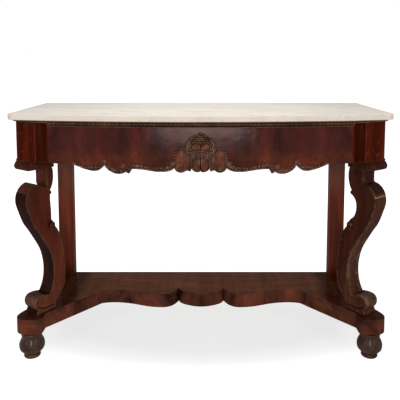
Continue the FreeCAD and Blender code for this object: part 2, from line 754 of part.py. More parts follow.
def make_platform():
    deep = size["dowel_depth"]
    holes = []
    for sign in (1, -1):
        holes += dowel_holes("Board" + hand(sign).capitalize(), sign, platform_top, deep, 0, SOLE_DOWELS)
    board = flat_body("Board", platform_outline(), board_bottom, "Sizes.board_thickness")
    keep(drilled("Board_drilled", board, holes), "platform_board")

    cusp_y = platform_front - PLATFORM_MIDDLE_LOBE[0][1]
    rail_back = cusp_y + size["rail_depth"]
    far = size["marble_width"]
    joint = side_face - size["arm_joint_inset"]
    rear = side_face - size["rear_joint_inset"]
    back_rail = platform_back - size["rail_depth"]
    keep(frame_piece("FrontRail", (-joint, -far), (joint, rail_back)), "platform_front_rail")
    keep(frame_piece("PlatformBackRail", (-rear, back_rail), (rear, far)), "platform_back_rail")
    half = size["stretcher_width"] / 2
    low = (-half, rail_back, platform_bottom)
    keep(box("Stretcher", low, (half, back_rail, board_bottom)), "platform_stretcher")
    for sign in (1, -1):
        side = hand(sign)
        xs = sorted((sign * joint, sign * far))
        arm = frame_piece("Arm" + side.capitalize(), (xs[0], -far), (xs[1], rail_back))
        bores = dowel_holes("Arm" + side.capitalize(), sign, platform_top, deep, 0, SOLE_DOWELS)
        bores.append(spigot_hole("Arm" + side.capitalize(), sign * foot_x, foot_y))
        keep(drilled("Arm%s_drilled" % side.capitalize(), arm, bores), "arm_" + side)
        xs = sorted((sign * rear, sign * far))
        block = frame_piece("RearBlock" + side.capitalize(), (xs[0], rail_back), (xs[1], far))
        bores = [spigot_hole("Rear" + side.capitalize(), sign * rear_foot_x, rear_foot_y)]
        keep(drilled("RearBlock%s_drilled" % side.capitalize(), block, bores), "rear_block_" + side)

    side = size["glue_block"]
    blocks = []
    for sign in (1, -1):
        for x in (half, (half + rear) / 2, rear - side):
            xs = sorted((sign * x, sign * (x + side)))
            for y in (rail_back, back_rail - side):
                low = (xs[0], y, board_bottom - side)
                blocks.append(box("BaseBlock%d" % len(blocks), low, (xs[1], y + side, board_bottom)))
    keep(group("PlatformGlueBlocks", blocks), "platform_glue_blocks")


# ---------------------------------------------------------------- feet


def spigot_hole(name, x, y):
    play = size["spigot_clearance"]
    at = Vector(x, y, platform_bottom)
    return cylinder(name + "_socket", size["spigot_radius"] + play, size["spigot_length"] + play, at)


def make_foot(label, x, y):
    stretch = size["foot_height"] / FOOT_TOP

    def drawn(points):
        return [(size[base] + more, z * stretch) for base, more, z in points]

    body = new_body(label.title().replace("_", ""))
    runs = [drawn(FOOT_PAD), drawn(FOOT_BALL), drawn(FOOT_COLLAR)]
    shoulder = (size["spigot_radius"], size["foot_height"])
    tenon_top = (size["spigot_radius"], size["foot_height"] + size["spigot_length"])
    geometry = [curve(points) for points in runs]
    geometry += [
        line(runs[-1][-1], shoulder),
        line(shoulder, tenon_top),
        line(tenon_top, (0, tenon_top[1])),
        line((0, tenon_top[1]), (0, 0)),
        line((0, 0), runs[0][0]),
    ]
    sketch = new_sketch(body, "XZ_Plane", geometry)
    turn = body.newObject("PartDesign::Revolution", body.Name + "_turn")
    turn.Profile = sketch
    turn.ReferenceAxis = (sketch, ["V_Axis"])
    turn.Angle = 360
    body.Placement = Placement(Vector(x, y, 0), Rotation())
    keep(body, label)


def make_feet():
    for sign in (1, -1):
        make_foot("foot_front_" + hand(sign), sign * foot_x, foot_y)
        make_foot("foot_rear_" + hand(sign), sign * rear_foot_x, rear_foot_y)


# ---------------------------------------------------------------- the whole table

make_marble()
make_front_cornice()
make_plain_cornices()
make_frieze_front()
make_cartouche()
for sign in (1, -1):
    make_apron_carving(sign)
    make_corner_block(sign)
    make_capital(sign)
    make_leg(sign)
make_rails()
make_battens()
make_frieze_glue_blocks()
make_leg_dowels()
make_posts()
make_post_screws()
make_platform()
make_feet()

doc.recompute()
for thing in doc.Objects:
    if {"Invalid", "Error"} & set(thing.State):
        raise RuntimeError("%s (%s) did not recompute: %s" % (thing.Label, thing.Name, thing.State))
os.makedirs("parts", exist_ok=True)
for thing in subparts:
    if thing.Shape.isNull() or not thing.Shape.isValid():
        raise RuntimeError("%s has no valid shape" % thing.Label)
for thing in subparts:
    thing.Shape.exportStep(os.path.join("parts", thing.Label + ".step"))
    print("%-24s solids %2d volume %12.1f" % (thing.Label, len(thing.Shape.Solids), thing.Shape.Volume))
print(len(subparts), "sub-parts")
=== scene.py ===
import math

import bmesh
import bpy
import numpy as np
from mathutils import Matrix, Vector
from mathutils.geometry import delaunay_2d_cdt


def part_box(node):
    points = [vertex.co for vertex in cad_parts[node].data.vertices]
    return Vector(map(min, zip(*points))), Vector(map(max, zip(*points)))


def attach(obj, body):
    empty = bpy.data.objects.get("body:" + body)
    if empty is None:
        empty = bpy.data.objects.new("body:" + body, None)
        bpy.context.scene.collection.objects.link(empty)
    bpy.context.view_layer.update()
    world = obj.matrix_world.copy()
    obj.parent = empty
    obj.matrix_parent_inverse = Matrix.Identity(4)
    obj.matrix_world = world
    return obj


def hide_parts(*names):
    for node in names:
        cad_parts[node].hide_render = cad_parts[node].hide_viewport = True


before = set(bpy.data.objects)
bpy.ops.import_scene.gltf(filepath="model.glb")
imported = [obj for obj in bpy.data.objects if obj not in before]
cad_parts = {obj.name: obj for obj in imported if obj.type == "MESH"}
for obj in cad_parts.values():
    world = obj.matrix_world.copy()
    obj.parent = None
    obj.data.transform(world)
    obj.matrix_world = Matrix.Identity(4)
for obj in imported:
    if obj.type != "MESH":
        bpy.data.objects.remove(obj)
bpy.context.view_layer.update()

BODY = "root"

# A pier table. Carved nodes are replaced by meshes whose relief is cut over the node's own outline, and every
# other node by its own mesh with rounded arrises. All sizes are in metres, in the frame's coordinates.


def extent(node, corner, axis):
    """Where a CAD node ends along an axis, at its lowest (0) or highest (1) corner."""
    return round(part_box(node)[corner][axis], 6)


FRIEZE_TOP = extent("frieze_front", 1, 2)
FRIEZE_HALF = extent("frieze_front", 1, 0)
FRIEZE_THICKNESS = 0.022
FACE_RADIUS = 3.444  # of the frieze's bowed face, in plan
BOW_CENTRE = extent("frieze_front", 0, 1) + FACE_RADIUS
BOARD_BOTTOM = extent("platform_board", 0, 2)


# ---------------- materials


def opaque(colour):
    """An opaque colour, of a grey or of red, green and blue."""
    return (*colour, 1.0) if isinstance(colour, tuple) else (colour, colour, colour, 1.0)


class Nodes:
    """A node tree under construction. Inputs take plain values or the output sockets of other nodes."""

    def __init__(self, tree):
        self.tree = tree

    def feed(self, node, **inputs):
        """Sets inputs by their name, with _ for a space, or by their number, as _0."""
        for key, value in inputs.items():
            socket = node.inputs[int(key[1:]) if key[0] == "_" else key.replace("_", " ")]
            if isinstance(value, bpy.types.NodeSocket):
                self.tree.links.new(value, socket)
            else:
                socket.default_value = value
        return node

    def add(self, kind, settings=None, **inputs):
        node = self.tree.nodes.new("ShaderNode" + kind)
        for key, value in (settings or {}).items():
            setattr(node, key, value)
        return self.feed(node, **inputs)

    def math(self, operation, a, b=0.0):
        return self.add("Math", {"operation": operation}, _0=a, _1=b).outputs[0]

    def distance(self, place, middle):
        return self.add("VectorMath", {"operation": "DISTANCE"}, _0=place, _1=middle).outputs["Value"]

    def seen(self):
        """1 for what the camera sees, also in gloss and through glass, and 0 for what lights the object."""
        path = self.add("LightPath")
        total = path.outputs["Is Camera Ray"]
        for ray_kind in ("Is Glossy Ray", "Is Transmission Ray"):
            total = self.math("MAXIMUM", total, path.outputs[ray_kind])
        return total


class Shader(Nodes):
    """A material under construction."""

    def __init__(self, name):
        self.material = bpy.data.materials.new(name)
        self.material.use_nodes = True
        super().__init__(self.material.node_tree)
        self.surface = self.tree.nodes["Principled BSDF"]
        self.place = self.add("TexCoord").outputs["Object"]

    def attribute(self, name):
        return self.add("Attribute", {"attribute_name": name}).outputs["Fac"]

    def axis(self, number):
        return self.add("SeparateXYZ", Vector=self.place).outputs[number]

    def aside(self):
        """How far the place is from the table's middle."""
        return self.math("ABSOLUTE", self.axis(0))

    def scaled(self, factors, place=None):
        """The place, stretched differently along each axis."""
        stretch = {"operation": "MULTIPLY"}
        return self.add("VectorMath", stretch, _0=place or self.place, _1=factors).outputs[0]

    def noise(self, place, scale, detail=4.0, roughness=0.55, distortion=0.0):
        return self.add(
            "TexNoise", Vector=place, Scale=scale, Detail=detail, Roughness=roughness, Distortion=distortion
        ).outputs["Fac"]

    def uneven(self, value, amount, scale, detail):
        """The value plus noise of 0 to the amount."""
        noise = self.noise(self.place, scale, detail)
        return self.math("ADD", value, self.math("MULTIPLY", noise, amount))

    def ramp(self, value, stops):
        """Stops are places from 0 to 1, each with a grey or a colour. Blender clamps places beyond 1."""
        node = self.add("ValToRGB", Fac=value)
        node.color_ramp.elements[0].position = stops[0][0]
        node.color_ramp.elements[1].position = stops[-1][0]
        for place, _ in stops[1:-1]:
            node.color_ramp.elements.new(place)
        for element, (_, colour) in zip(node.color_ramp.elements, stops):
            element.color = opaque(colour)
        return node.outputs["Color"]

    def mix(self, share, a, b, blend="MIX"):
        a, b = (opaque(colour) if isinstance(colour, tuple) else colour for colour in (a, b))
        node = self.add("Mix", {"data_type": "RGBA", "blend_type": blend})
        self.feed(node, _0=share, _6=a, _7=b)
        return node.outputs[2]

    def tint(self, share, colour, factors):
        return self.mix(share, colour, factors, "MULTIPLY")

    def bump(self, height, strength, distance, **normal):
        return self.add("Bump", Height=height, Strength=strength, Distance=distance, **normal).outputs[0]


# Colours and tints that several woods share. The pale of bare wood is also a painted highlight, the two
# sheens are painted, and the last tint is painted shade.
BARE_WOOD_HIGHLIGHT = (0.072, 0.0552, 0.036)
OLD_GLUE = (0.24, 0.155, 0.095)
SHEEN = (0.105, 0.07, 0.052)
RED_SHEEN = (0.15, 0.055, 0.038)
SHEEN_MIDDLE = (0.0, -0.25, 0.872)  # middle of the frieze's top edge
REDDER = (1.45, 0.95, 1.05)
BAND_TINT = (0.72, 0.69, 0.72)
SHADE_TINT = (0.42, 0.36, 0.34)


def figured(s, tones, place, grain, figure, streak, fine):
    """The wood's own colour, and the noises of its plumes and its fibres."""
    plume = s.noise(s.scaled(grain, place), scale=9.0, detail=5.0, distortion=0.9)
    bands = s.noise(s.scaled(tuple(3.2 * g for g in grain), place), 22.0, 3.0, 0.6, 0.4)
    fibres = s.noise(s.scaled(tuple(g ** 2.2 for g in grain), place), 520.0 * fine, 3.0, 0.6)
    patterns = ((plume, 0.62 * figure), (bands, 0.26 * streak), (fibres, 0.2 * streak))
    value = 0.5 - 0.5 * sum(share for _, share in patterns)
    for pattern, share in patterns:
        value = s.math("ADD", s.math("MULTIPLY", pattern, share), value)
    return s.ramp(value, tuple(zip((0.36, 0.5, 0.64), tones))), plume, fibres


def matched(s):
    """The place, mirrored at the middle as veneer is when it is laid in pairs."""
    return s.add("CombineXYZ", X=s.aside(), Y=s.axis(1), Z=s.axis(2)).outputs[0]


def red_sheets(s, colour, place):
    """Some of the veneer's sheets are redder."""
    sheets = s.noise(s.scaled((1.0, 0.0, 0.0), place), scale=16.0, detail=1.0)
    red = s.ramp(s.uneven(sheets, 0.12, scale=30.0, detail=2.0), ((0.6, 0.0), (0.72, 0.8)))
    return s.tint(red, colour, REDDER)


def sheened_middle(s, colour):
    """A painted sheen at the middle of the frieze's top."""
    away = s.distance(s.place, SHEEN_MIDDLE)
    sheen = s.ramp(s.uneven(away, 0.1, scale=34.0, detail=4.0), ((0.07, 0.34), (0.19, 0.0)))
    return s.mix(sheen, colour, RED_SHEEN)


def sheened_above(s, colour, bottom, top):
    """A painted sheen that comes in between two heights."""
    height = s.uneven(s.axis(2), 0.1, scale=14.0, detail=4.0)
    return s.mix(s.ramp(height, ((bottom, 0.0), (top, 0.6))), colour, SHEEN)


def tinted_below(s, colour, plume, patchy, factors, bottom, top):
    """A tint that ends between two heights, and lies in patches or everywhere below."""
    height = s.math("ADD", s.axis(2), s.math("MULTIPLY", plume, 0.03))
    low = s.ramp(height, ((bottom, 1.0), (top, 0.0)))
    if patchy:
        patches = s.ramp(s.noise(s.place, scale=24.0), ((0.4, 0.15), (0.62, 1.0)))
        low = s.math("MULTIPLY", low, patches)
    return s.tint(low, colour, factors)


def banded_and_shaded(s, colour, inner, outer):
    """Darker bands across, and painted shade that comes in between two distances from the middle."""
    bands = s.noise(s.scaled((1.0, 0.05, 0.0)), scale=24.0, detail=3.0)
    colour = s.tint(s.ramp(bands, ((0.36, 0.8), (0.58, 0.0))), colour, BAND_TINT)
    aside = s.uneven(s.aside(), 0.05, scale=9.0, detail=3.0)
    return s.tint(s.ramp(aside, ((inner, 0.0), (outer, 1.0))), colour, SHADE_TINT)


def tinted_where_smooth(s, colour, factors):
    patches = s.ramp(s.noise(s.place, scale=85.0, detail=3.0), ((0.32, 0.35), (0.6, 1.0)))
    return s.tint(s.math("MULTIPLY", s.attribute("polish"), patches), colour, factors)


def shaded_and_worn(s, colour, dark, light, worn, bare):
    """Painted shade in what lies low, and bare wood with painted highlights on what stands out, by the relief
    attribute.
    """
    relief = s.attribute("relief")
    unshaded = s.ramp(relief, ((0.15, 0.0), (0.75, 1.0)))
    colour = s.mix(unshaded, tuple(0.3 * c for c in dark), colour)
    patches = s.ramp(s.noise(s.place, 48.0, 4.0, 0.6), ((0.36, 0.0), (0.64, 1.0)))
    out = s.math("ADD", relief, s.math("MULTIPLY", patches, 0.5))
    rubbed = s.ramp(s.math("MULTIPLY", out, 0.5), ((0.62, 0.0), (0.76, worn)))
    return s.mix(rubbed, colour, tuple(1.5 * c + bare * more for c, more in zip(light, BARE_WOOD_HIGHLIGHT)))


def opened(s, colour, height, sway=0.006):
    """An open joint at a height, not quite level and with pale glue in it."""
    off = s.math("SUBTRACT", s.uneven(s.axis(2), sway, scale=22.0, detail=2.0), height + 0.5 * sway)
    crack = s.ramp(s.math("ABSOLUTE", off), ((0.0008, 0.9), (0.0024, 0.0)))
    return s.mix(crack, colour, OLD_GLUE)


def wood(name, dark, mid, light, grain, rough=0.32, coat=0.2, coat_rough=0.12, specular=0.0,
         figure=1.0, streak=1.0, fine=1.0, mirror=False, lower=None, haze=None, corners=None,
         polished=None, worn=0.0, bare=1.0, joint=None):
    """Polished wood in three tones, in thousandths.

    grain     how much slower the figure changes along each axis
    figure    strength of its plumes, as streak is of its lines
    fine      fineness of its fibres
    mirror    whether it is laid in mirrored pairs, with a painted sheen at the middle of its top
    lower     tint of the lower part, and the heights between which it ends
    haze      heights between which a painted sheen comes in
    corners   distances from the middle between which painted shade comes in
    polished  tint of the smooth parts
    worn      how much of the polish is rubbed off on edges, which also paints highlights there
    bare      how pale the wood is there
    joint     height of an open joint
    """
    s = Shader(name)
    dark, mid, light = (tuple(c / 1000.0 for c in tone) for tone in (dark, mid, light))
    place = matched(s) if mirror else s.place
    colour, plume, fibres = figured(s, (dark, mid, light), place, grain, figure, streak, fine)
    if mirror:
        colour = sheened_middle(s, red_sheets(s, colour, place))
    if lower:
        colour = tinted_below(s, colour, plume, mirror, *lower)
    if haze:
        colour = sheened_above(s, colour, *haze)
    if corners:
        colour = banded_and_shaded(s, colour, *corners)
    if polished:
        colour = tinted_where_smooth(s, colour, polished)
    if worn:
        colour = shaded_and_worn(s, colour, dark, light, worn, bare)
    if joint:
        colour = opened(s, colour, joint)
    pores = s.bump(fibres, 0.25, 0.0004)
    waves = s.bump(s.noise(s.place, scale=26.0, detail=2.0), 0.35, 0.0012, Normal=pores)
    s.feed(
        s.surface,
        Base_Color=colour,
        Roughness=s.uneven(rough - 0.08, 0.16, scale=7.0, detail=3.0),
        Specular_IOR_Level=specular,
        Coat_Weight=coat,
        Coat_Roughness=coat_rough,
        Normal=waves,
        Coat_Normal=waves,
    )
    return s.material


def marble(name, tone, dirt, coat):
    """White marble with faint grey smoke and veins, and brownish stains."""
    s = Shader(name)
    cloud = s.noise(s.scaled((0.7, 1.6, 1.0)), 3.4, 5.0, 0.55, 0.8)
    shades = [tuple(k * c for c in tone) for k in (0.93, 1.0, 1.04)]
    colour = s.ramp(cloud, tuple(zip((0.3, 0.55, 0.75), shades)))
    turned = s.add("VectorRotate", {"rotation_type": "Z_AXIS"}, Vector=s.place, Angle=0.45).outputs[0]
    for scale, width, strength in ((2.6, 0.02, 0.26), (7.0, 0.016, 0.14)):
        field = s.noise(s.scaled((0.55, 1.7, 1.0), turned), scale, 7.0, 0.6, 1.6)
        vein = s.math("ABSOLUTE", s.math("SUBTRACT", field, 0.5))
        vein = s.ramp(vein, ((0.0, strength), (width, strength * 0.25), (3.0 * width, 0.0)))
        colour = s.mix(vein, colour, (0.36, 0.345, 0.33))
    stain = s.ramp(s.noise(s.scaled((0.7, 1.0, 1.5)), 24.0, 5.0, 0.7, 1.0), ((0.58, 0.0), (0.8, dirt)))
    s.feed(
        s.surface,
        Base_Color=s.mix(stain, colour, (0.44, 0.36, 0.27)),
        Roughness=s.uneven(0.24, 0.12, scale=160.0, detail=3.0),
        Specular_IOR_Level=0.0,
        Coat_Weight=coat,
        Coat_Roughness=0.2,
        Subsurface_Weight=0.06,
        Subsurface_Radius=(0.006, 0.005, 0.004),
        Normal=s.bump(s.noise(s.place, scale=90.0), 0.12, 0.0006),
    )
    return s.material


def iron():
    s = Shader("screw_iron")
    rust = s.noise(s.place, scale=300.0)
    s.feed(
        s.surface,
        Base_Color=s.ramp(rust, ((0.3, (0.09, 0.045, 0.03)), (0.7, (0.2, 0.18, 0.17)))),
        Metallic=0.8,
        Roughness=s.math("ADD", s.math("MULTIPLY", rust, 0.3), 0.4),
        Normal=s.bump(rust, 0.3, 0.0004),
    )
    return s.material


# What some woods share.
SWIRLING = dict(grain=(1.0, 1.0, 0.6), coat_rough=0.14, streak=0.3)
LEG_SIDE = dict(grain=(1.0, 1.0, 0.22), coat=0.05, coat_rough=0.16, streak=0.6, polished=(1.35, 0.88, 0.8))
LEG_BAND = dict(grain=(1.0, 1.0, 0.3), streak=0.6)
ACROSS = dict(grain=(0.5, 1.0, 1.0), rough=0.4, coat_rough=0.16)
TURNED = dict(grain=(1.0, 1.0, 0.6), coat_rough=0.22, worn=0.3)

# The right leg's side and the left leg's band are painted shade, and the left leg's side and the right leg's
# band painted light, as if lit from the right. The right front foot has a duller wood, because the photo's
# two sides differ.
MATERIALS = {
    # The frieze's lower part is tinted orange in patches, a painted warm reflection, and the middle of its
    # top has a painted sheen.
    "frieze": wood(
        "crotch_veneer", (14, 3.6, 3), (42, 8.8, 6.6), (80, 16.5, 11),
        grain=(1.0, 1.0, 0.45), coat=0.11, coat_rough=0.11, streak=0.4, fine=0.7, mirror=True,
        lower=((1.65, 1.75, 0.85), 0.78, 0.812)),
    # The corner blocks' rounded arrises are worn pale, which also paints a highlight along them.
    "block": wood(
        "block_veneer", (22, 3.2, 1), (50, 6.6, 2), (86, 13, 4),
        grain=(1.0, 1.0, 0.12), coat=0.008, streak=0.7, worn=0.9),
    "arm": wood(
        "arm_veneer", (24, 6.6, 3.4), (74, 20.5, 10.5), (134, 40, 19),
        **SWIRLING, coat=0.06, figure=1.2, worn=0.6),
    "base": wood(
        "base_veneer", (16, 6.2, 4), (58, 18.5, 10.8), (115, 28, 16.8),
        **SWIRLING, coat=0.05, figure=1.35, worn=0.5),
    # The shelf's ends are darker, a painted shade with painted dark reflections of the posts and legs.
    "shelf": wood(
        "shelf_veneer", (67, 23, 10.8), (106, 37.5, 18), (142, 52.5, 26.8),
        grain=(0.18, 1.0, 1.0), coat=0.05, figure=0.8, streak=0.7, worn=0.5, corners=(0.495, 0.545)),
    # The post's upper part has a painted sheen, and its foot is darker, a painted shade.
    "post": wood(
        "post_veneer", (66, 13, 6.4), (132, 27, 13), (190, 45, 22),
        grain=(1.0, 1.0, 0.1), coat=0.06, streak=0.7, worn=0.2, haze=(0.54, 0.74),
        lower=((0.5, 0.44, 0.42), 0.175, 0.225)),
    "leg": wood(
        "leg_mahogany", (34, 9.2, 5), (70, 19, 9.8), (116, 34, 17),
        **LEG_SIDE, worn=0.16, lower=((0.95, 1.15, 1.15), 0.21, 0.3)),
    "shaded_leg_side": wood(
        "shaded_leg_side_mahogany", (14, 4.6, 2.6), (31, 9.8, 5.4), (58, 18, 9.6),
        **LEG_SIDE, worn=0.32, lower=((1.75, 2.1, 2.0), 0.2, 0.34)),
    "leg_band": wood(
        "shaded_leg_band", (8, 2.6, 1.8), (16.5, 5.2, 3.6), (34, 12, 7.2),
        **LEG_BAND, coat=0.035, worn=0.18),
    "lit_leg_band": wood(
        "lit_leg_band", (26, 9, 4.8), (54, 20.5, 11), (88, 36, 20),
        **LEG_BAND, coat=0.04, worn=0.32, joint=0.604),
    "leg_toe": wood(
        "leg_toe_mahogany", (30, 13.5, 8), (74, 34, 19.5), (120, 59, 34),
        grain=(2.0, 2.0, 2.0), coat=0.08, coat_rough=0.2, streak=0.6, worn=0.35),
    "carved": wood(
        "carved_mahogany", (18, 8.6, 5.2), (48, 20.5, 12.2), (92, 37, 22),
        **ACROSS, coat=0.1, worn=0.32),
    "capital": wood(
        "capital_mahogany", (15, 4.6, 2.6), (38, 9.6, 5), (72, 19, 9.6),
        **ACROSS, coat=0.05, worn=0.5),
    # The edging's raised ridges are worn pale, which also paints glints on them.
    "edging": wood(
        "edging_mahogany", (19, 7.2, 4.2), (52, 19, 10.5), (105, 36, 19),
        grain=(0.7, 1.0, 1.0), rough=0.36, coat=0.16, coat_rough=0.16, worn=0.7, bare=1.6,
        polished=(1.1, 0.72, 0.72)),
    "shell": wood(
        "cartouche_mahogany", (34, 17, 10.5), (74, 36, 23), (122, 59, 38),
        grain=(4.5, 4.5, 3.0), rough=0.4, coat=0.06, coat_rough=0.3, figure=1.4, worn=0.5, bare=0.7,
        polished=(1.22, 0.58, 0.5)),
    "foot": wood(
        "turned_mahogany", (18, 9.2, 5.8), (42, 21.5, 13.5), (72, 38, 24),
        **TURNED, coat=0.2),
    "foot_dull": wood(
        "turned_dull_mahogany", (14, 7.2, 4.5), (32, 16.5, 10.2), (58, 30, 19),
        **TURNED, coat=0.16),
    "old": wood(
        "old_pine", (160, 85, 40), (270, 155, 75), (380, 235, 120),
        grain=(0.15, 1.0, 1.0), rough=0.7, coat=0.0, specular=0.2, worn=0.1),
    "marble": marble("white_marble", tone=(0.755, 0.69, 0.62), dirt=0.12, coat=0.12),
    # The marble's sides are a darker copy of its top, as painted shade, and more stained.
    "marble_edge": marble("marble_edge", tone=(0.6, 0.535, 0.455), dirt=0.8, coat=0.02),
    "iron": iron(),
}
SLOTS = {
    "old": "secondary_wood", "marble": "marble", "iron": "screw_iron",
    **dict.fromkeys(("frieze", "block", "arm", "base", "shelf", "post"), "mahogany_veneer"),
}


# ---------------- CAD nodes with rounded arrises

SHARP_ANGLE = 35.0  # degrees between faces, above which an edge is shaded as sharp
ROUNDED_ANGLE = 32.0  # and above which it is rounded
WELD = 2e-6

# Levels of the relief attribute. Painted shade gathers below 0.75, and above 1 wood is rubbed off and painted
# light as a highlight.
SHADED_HOLLOW, PLAIN, HIGHLIT_WEAR, MOST_HIGHLIT_WEAR = 0.38, 0.8, 1.15, 1.4


def put(name, data):
    thing = bpy.data.objects.new(name, data)
    bpy.context.scene.collection.objects.link(thing)
    return thing


def finish_piece(node, mesh, material, sharp=SHARP_ANGLE):
    """Puts a mesh into the scene in place of a CAD node."""
    mesh.name = node + "_shown"
    mesh.materials.clear()
    mesh.materials.append(MATERIALS[material])
    mesh.shade_smooth()
    mesh.set_sharp_from_angle(angle=math.radians(sharp))
    piece = put(mesh.name, mesh)
    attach(piece, BODY)
    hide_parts(node)
    return piece


def welded(node):
    """The CAD node's mesh with shared corners."""
    shape = bmesh.new()
    shape.from_mesh(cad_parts[node].data)
    bmesh.ops.remove_doubles(shape, verts=shape.verts, dist=WELD)
    return shape


def plain_relief(place, rounded):
    return HIGHLIT_WEAR if rounded else PLAIN


def block_relief(place, rounded):
    """Painted shade lies in the coves of the corner blocks."""
    in_cove = 0.541 < abs(place.x) < 0.576 and place.y < -0.19
    return SHADED_HOLLOW if in_cove and not rounded else plain_relief(place, rounded)


def platform_relief(place, rounded):
    """The seam under the shelf board is tight, and the top edge over the front feet is rubbed most and
    painted lightest, as a highlight.
    """
    if not rounded or abs(place.z - BOARD_BOTTOM) < 0.003:
        return PLAIN
    return MOST_HIGHLIT_WEAR if abs(place.x) > 0.598 and place.z > BOARD_BOTTOM else HIGHLIT_WEAR


def dress(node, material, bevel, sides, relief):
    """Shows a CAD node with rounded arrises. Sides is the material of the faces that don't look up."""
    shape = welded(node)
    bmesh.ops.dissolve_limit(shape, angle_limit=math.radians(0.6), verts=shape.verts, edges=shape.edges,
                             use_dissolve_boundaries=False)
    layer = shape.faces.layers.float.new("relief")
    for face in shape.faces:
        face[layer] = relief(face.calc_center_median(), False)
    if bevel:
        limit = math.radians(ROUNDED_ANGLE)
        edges = [e for e in shape.edges if e.is_manifold and e.calc_face_angle_signed(0.0) > limit]
        rounded = bmesh.ops.bevel(
            shape, geom=edges, offset=bevel, offset_type="OFFSET", segments=2, profile=0.5, affect="EDGES",
            clamp_overlap=True, material=-1,
        )
        for face in rounded["faces"]:
            face[layer] = relief(face.calc_center_median(), True)
    mesh = bpy.data.meshes.new(node)
    shape.to_mesh(mesh)
    shape.free()
    piece = finish_piece(node, mesh, material)
    if sides:
        mesh.materials.append(MATERIALS[sides])
        for face in mesh.polygons:
            face.material_index = int(face.normal.z < 0.7)
    piece.modifiers.new("shading", "WEIGHTED_NORMAL").keep_sharp = True


# What a node is made of, by its name without left or right, or by its full name where the sides differ. Nodes
# that aren't here are carved.
KINDS = {
    "marble_top": "marble", "post": "post", "capital": "capital", "post_screws": "iron",
    "platform_board": "shelf", "platform_front_rail": "base", "arm": "arm", "rear_block": "base",
    "foot_front": "foot", "foot_front_right": "foot_dull", "foot_rear": "foot",
    **dict.fromkeys(("corner_block", "side_rail"), "block"),
    **dict.fromkeys(("cornice_return", "cornice_corner", "cornice_side"), "carved"),
    **dict.fromkeys(("back_rail", "batten", "frieze_glue_blocks", "platform_back_rail", "platform_stretcher",
                     "platform_glue_blocks", "leg_dowels"), "old"),
}
BEVELS = {"marble": 0.0, "block": 0.0022, "shelf": 0.0024}
USUAL_BEVEL = 0.0013
SIDES = {"shelf": "base", "marble": "marble_edge"}
RELIEFS = {"block": block_relief, **dict.fromkeys(("shelf", "arm", "base"), platform_relief)}


def dress_nodes():
    for node in sorted(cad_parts):
        stem = node.removesuffix("_left").removesuffix("_right")
        kind = KINDS.get(node) or KINDS.get(stem)
        if kind:
            dress(node, kind, BEVELS.get(kind, USUAL_BEVEL), SIDES.get(kind), RELIEFS.get(kind, plain_relief))


# ---------------- outlines, paths and small shapes

TINY = 1e-12


def length(points):
    return np.linalg.norm(np.diff(np.vstack([points, points[:1]]), axis=0), axis=1).sum()


def loops_of(edges):
    """The closed loops that directed edges make. A corner may have several edges."""
    following = {}
    for a, b in edges:
        following.setdefault(a, []).append(b)
    loops = []
    while following:
        here = next(iter(following))
        loop = [here]
        while here in following:
            ways = following[here]
            here = ways.pop()
            if not ways:
                del following[loop[-1]]
            if here == loop[0]:
                break
            loop.append(here)
        loops.append(loop)
    return loops


def rims(node, facing, least=0.6):
    """Closed outlines of the side of a CAD node that faces one way, longest first, as 3-D points."""
    shape = welded(node)
    facing = Vector(facing).normalized()
    inside = {f for f in shape.faces if f.calc_area() > TINY and f.normal.dot(facing) > least}
    rim = []
    for edge in shape.edges:
        near = [f for f in edge.link_faces if f in inside]
        if len(near) == 1:
            rim += [(loop.vert.index, loop.link_loop_next.vert.index)
                    for loop in near[0].loops if loop.edge == edge]
    places = np.array([v.co for v in shape.verts])
    shape.free()
    return sorted((places[loop] for loop in loops_of(rim)), key=length, reverse=True)


def front_outline(node):
    """The outline of a node's front, as x and z."""
    return rims(node, (0, -1, 0))[0][:, (0, 2)]


def cross(a, b):
    return a[..., 0] * b[..., 1] - a[..., 1] * b[..., 0]


def resampled(outline, step):
    """The closed outline with evenly spaced points, keeping its sharp corners."""
    points = []
    for a, b in zip(outline, np.roll(outline, -1, axis=0)):
        pieces = max(1, int(round(np.linalg.norm(b - a) / step)))
        points += [a + (b - a) * k / pieces for k in range(pieces)]
    kept = [points[0]]
    for here, after in zip(points[1:], points[2:] + points[:1]):
        come, go = here - kept[-1], after - here
        turn = abs(cross(come, go)) / (np.linalg.norm(come) * np.linalg.norm(go) + TINY)
        if np.linalg.norm(come) > 0.6 * step or turn > 0.35:
            kept.append(here)
    return np.array(kept)


def to_path(points, path, closed=False):
    """How far each point is from a path, and how far along the path the nearest place is."""
    ends = np.roll(path, -1, axis=0) if closed else path[1:]
    starts = path if closed else path[:-1]
    steps = ends - starts
    runs = np.linalg.norm(steps, axis=1)
    before = np.concatenate([[0.0], np.cumsum(runs)])[:-1]
    best = np.full(len(points), np.inf)
    along = np.zeros(len(points))
    for start, step, run, sofar in zip(starts, steps, runs, before):
        if run < 1e-9:
            continue
        share = unit(((points - start) @ step) / run ** 2)
        gap = np.linalg.norm(points - start - share[:, None] * step, axis=1)
        nearer = gap < best
        best[nearer] = gap[nearer]
        along[nearer] = sofar + share[nearer] * run
    return best, along


def rim_gap(points, outline):
    """How far each point is from a closed outline."""
    return to_path(points, outline, closed=True)[0]


def within(points, outline):
    inside = np.zeros(len(points), bool)
    for (ax, ay), (bx, by) in zip(outline, np.roll(outline, -1, axis=0)):
        spans = (ay > points[:, 1]) != (by > points[:, 1])
        x = ax + (points[:, 1] - ay) * (bx - ax) / (by - ay if by != ay else TINY)
        inside ^= spans & (points[:, 0] < x)
    return inside


def right_half(points):
    """The points with those of the left half mirrored onto the right one."""
    return np.abs(points[:, :1]) * (1, 0) + points * (0, 1)


def unit(values):
    return np.clip(values, 0.0, 1.0)


def half_round(gap, width):
    return np.sqrt(unit(1.0 - (gap / width) ** 2))


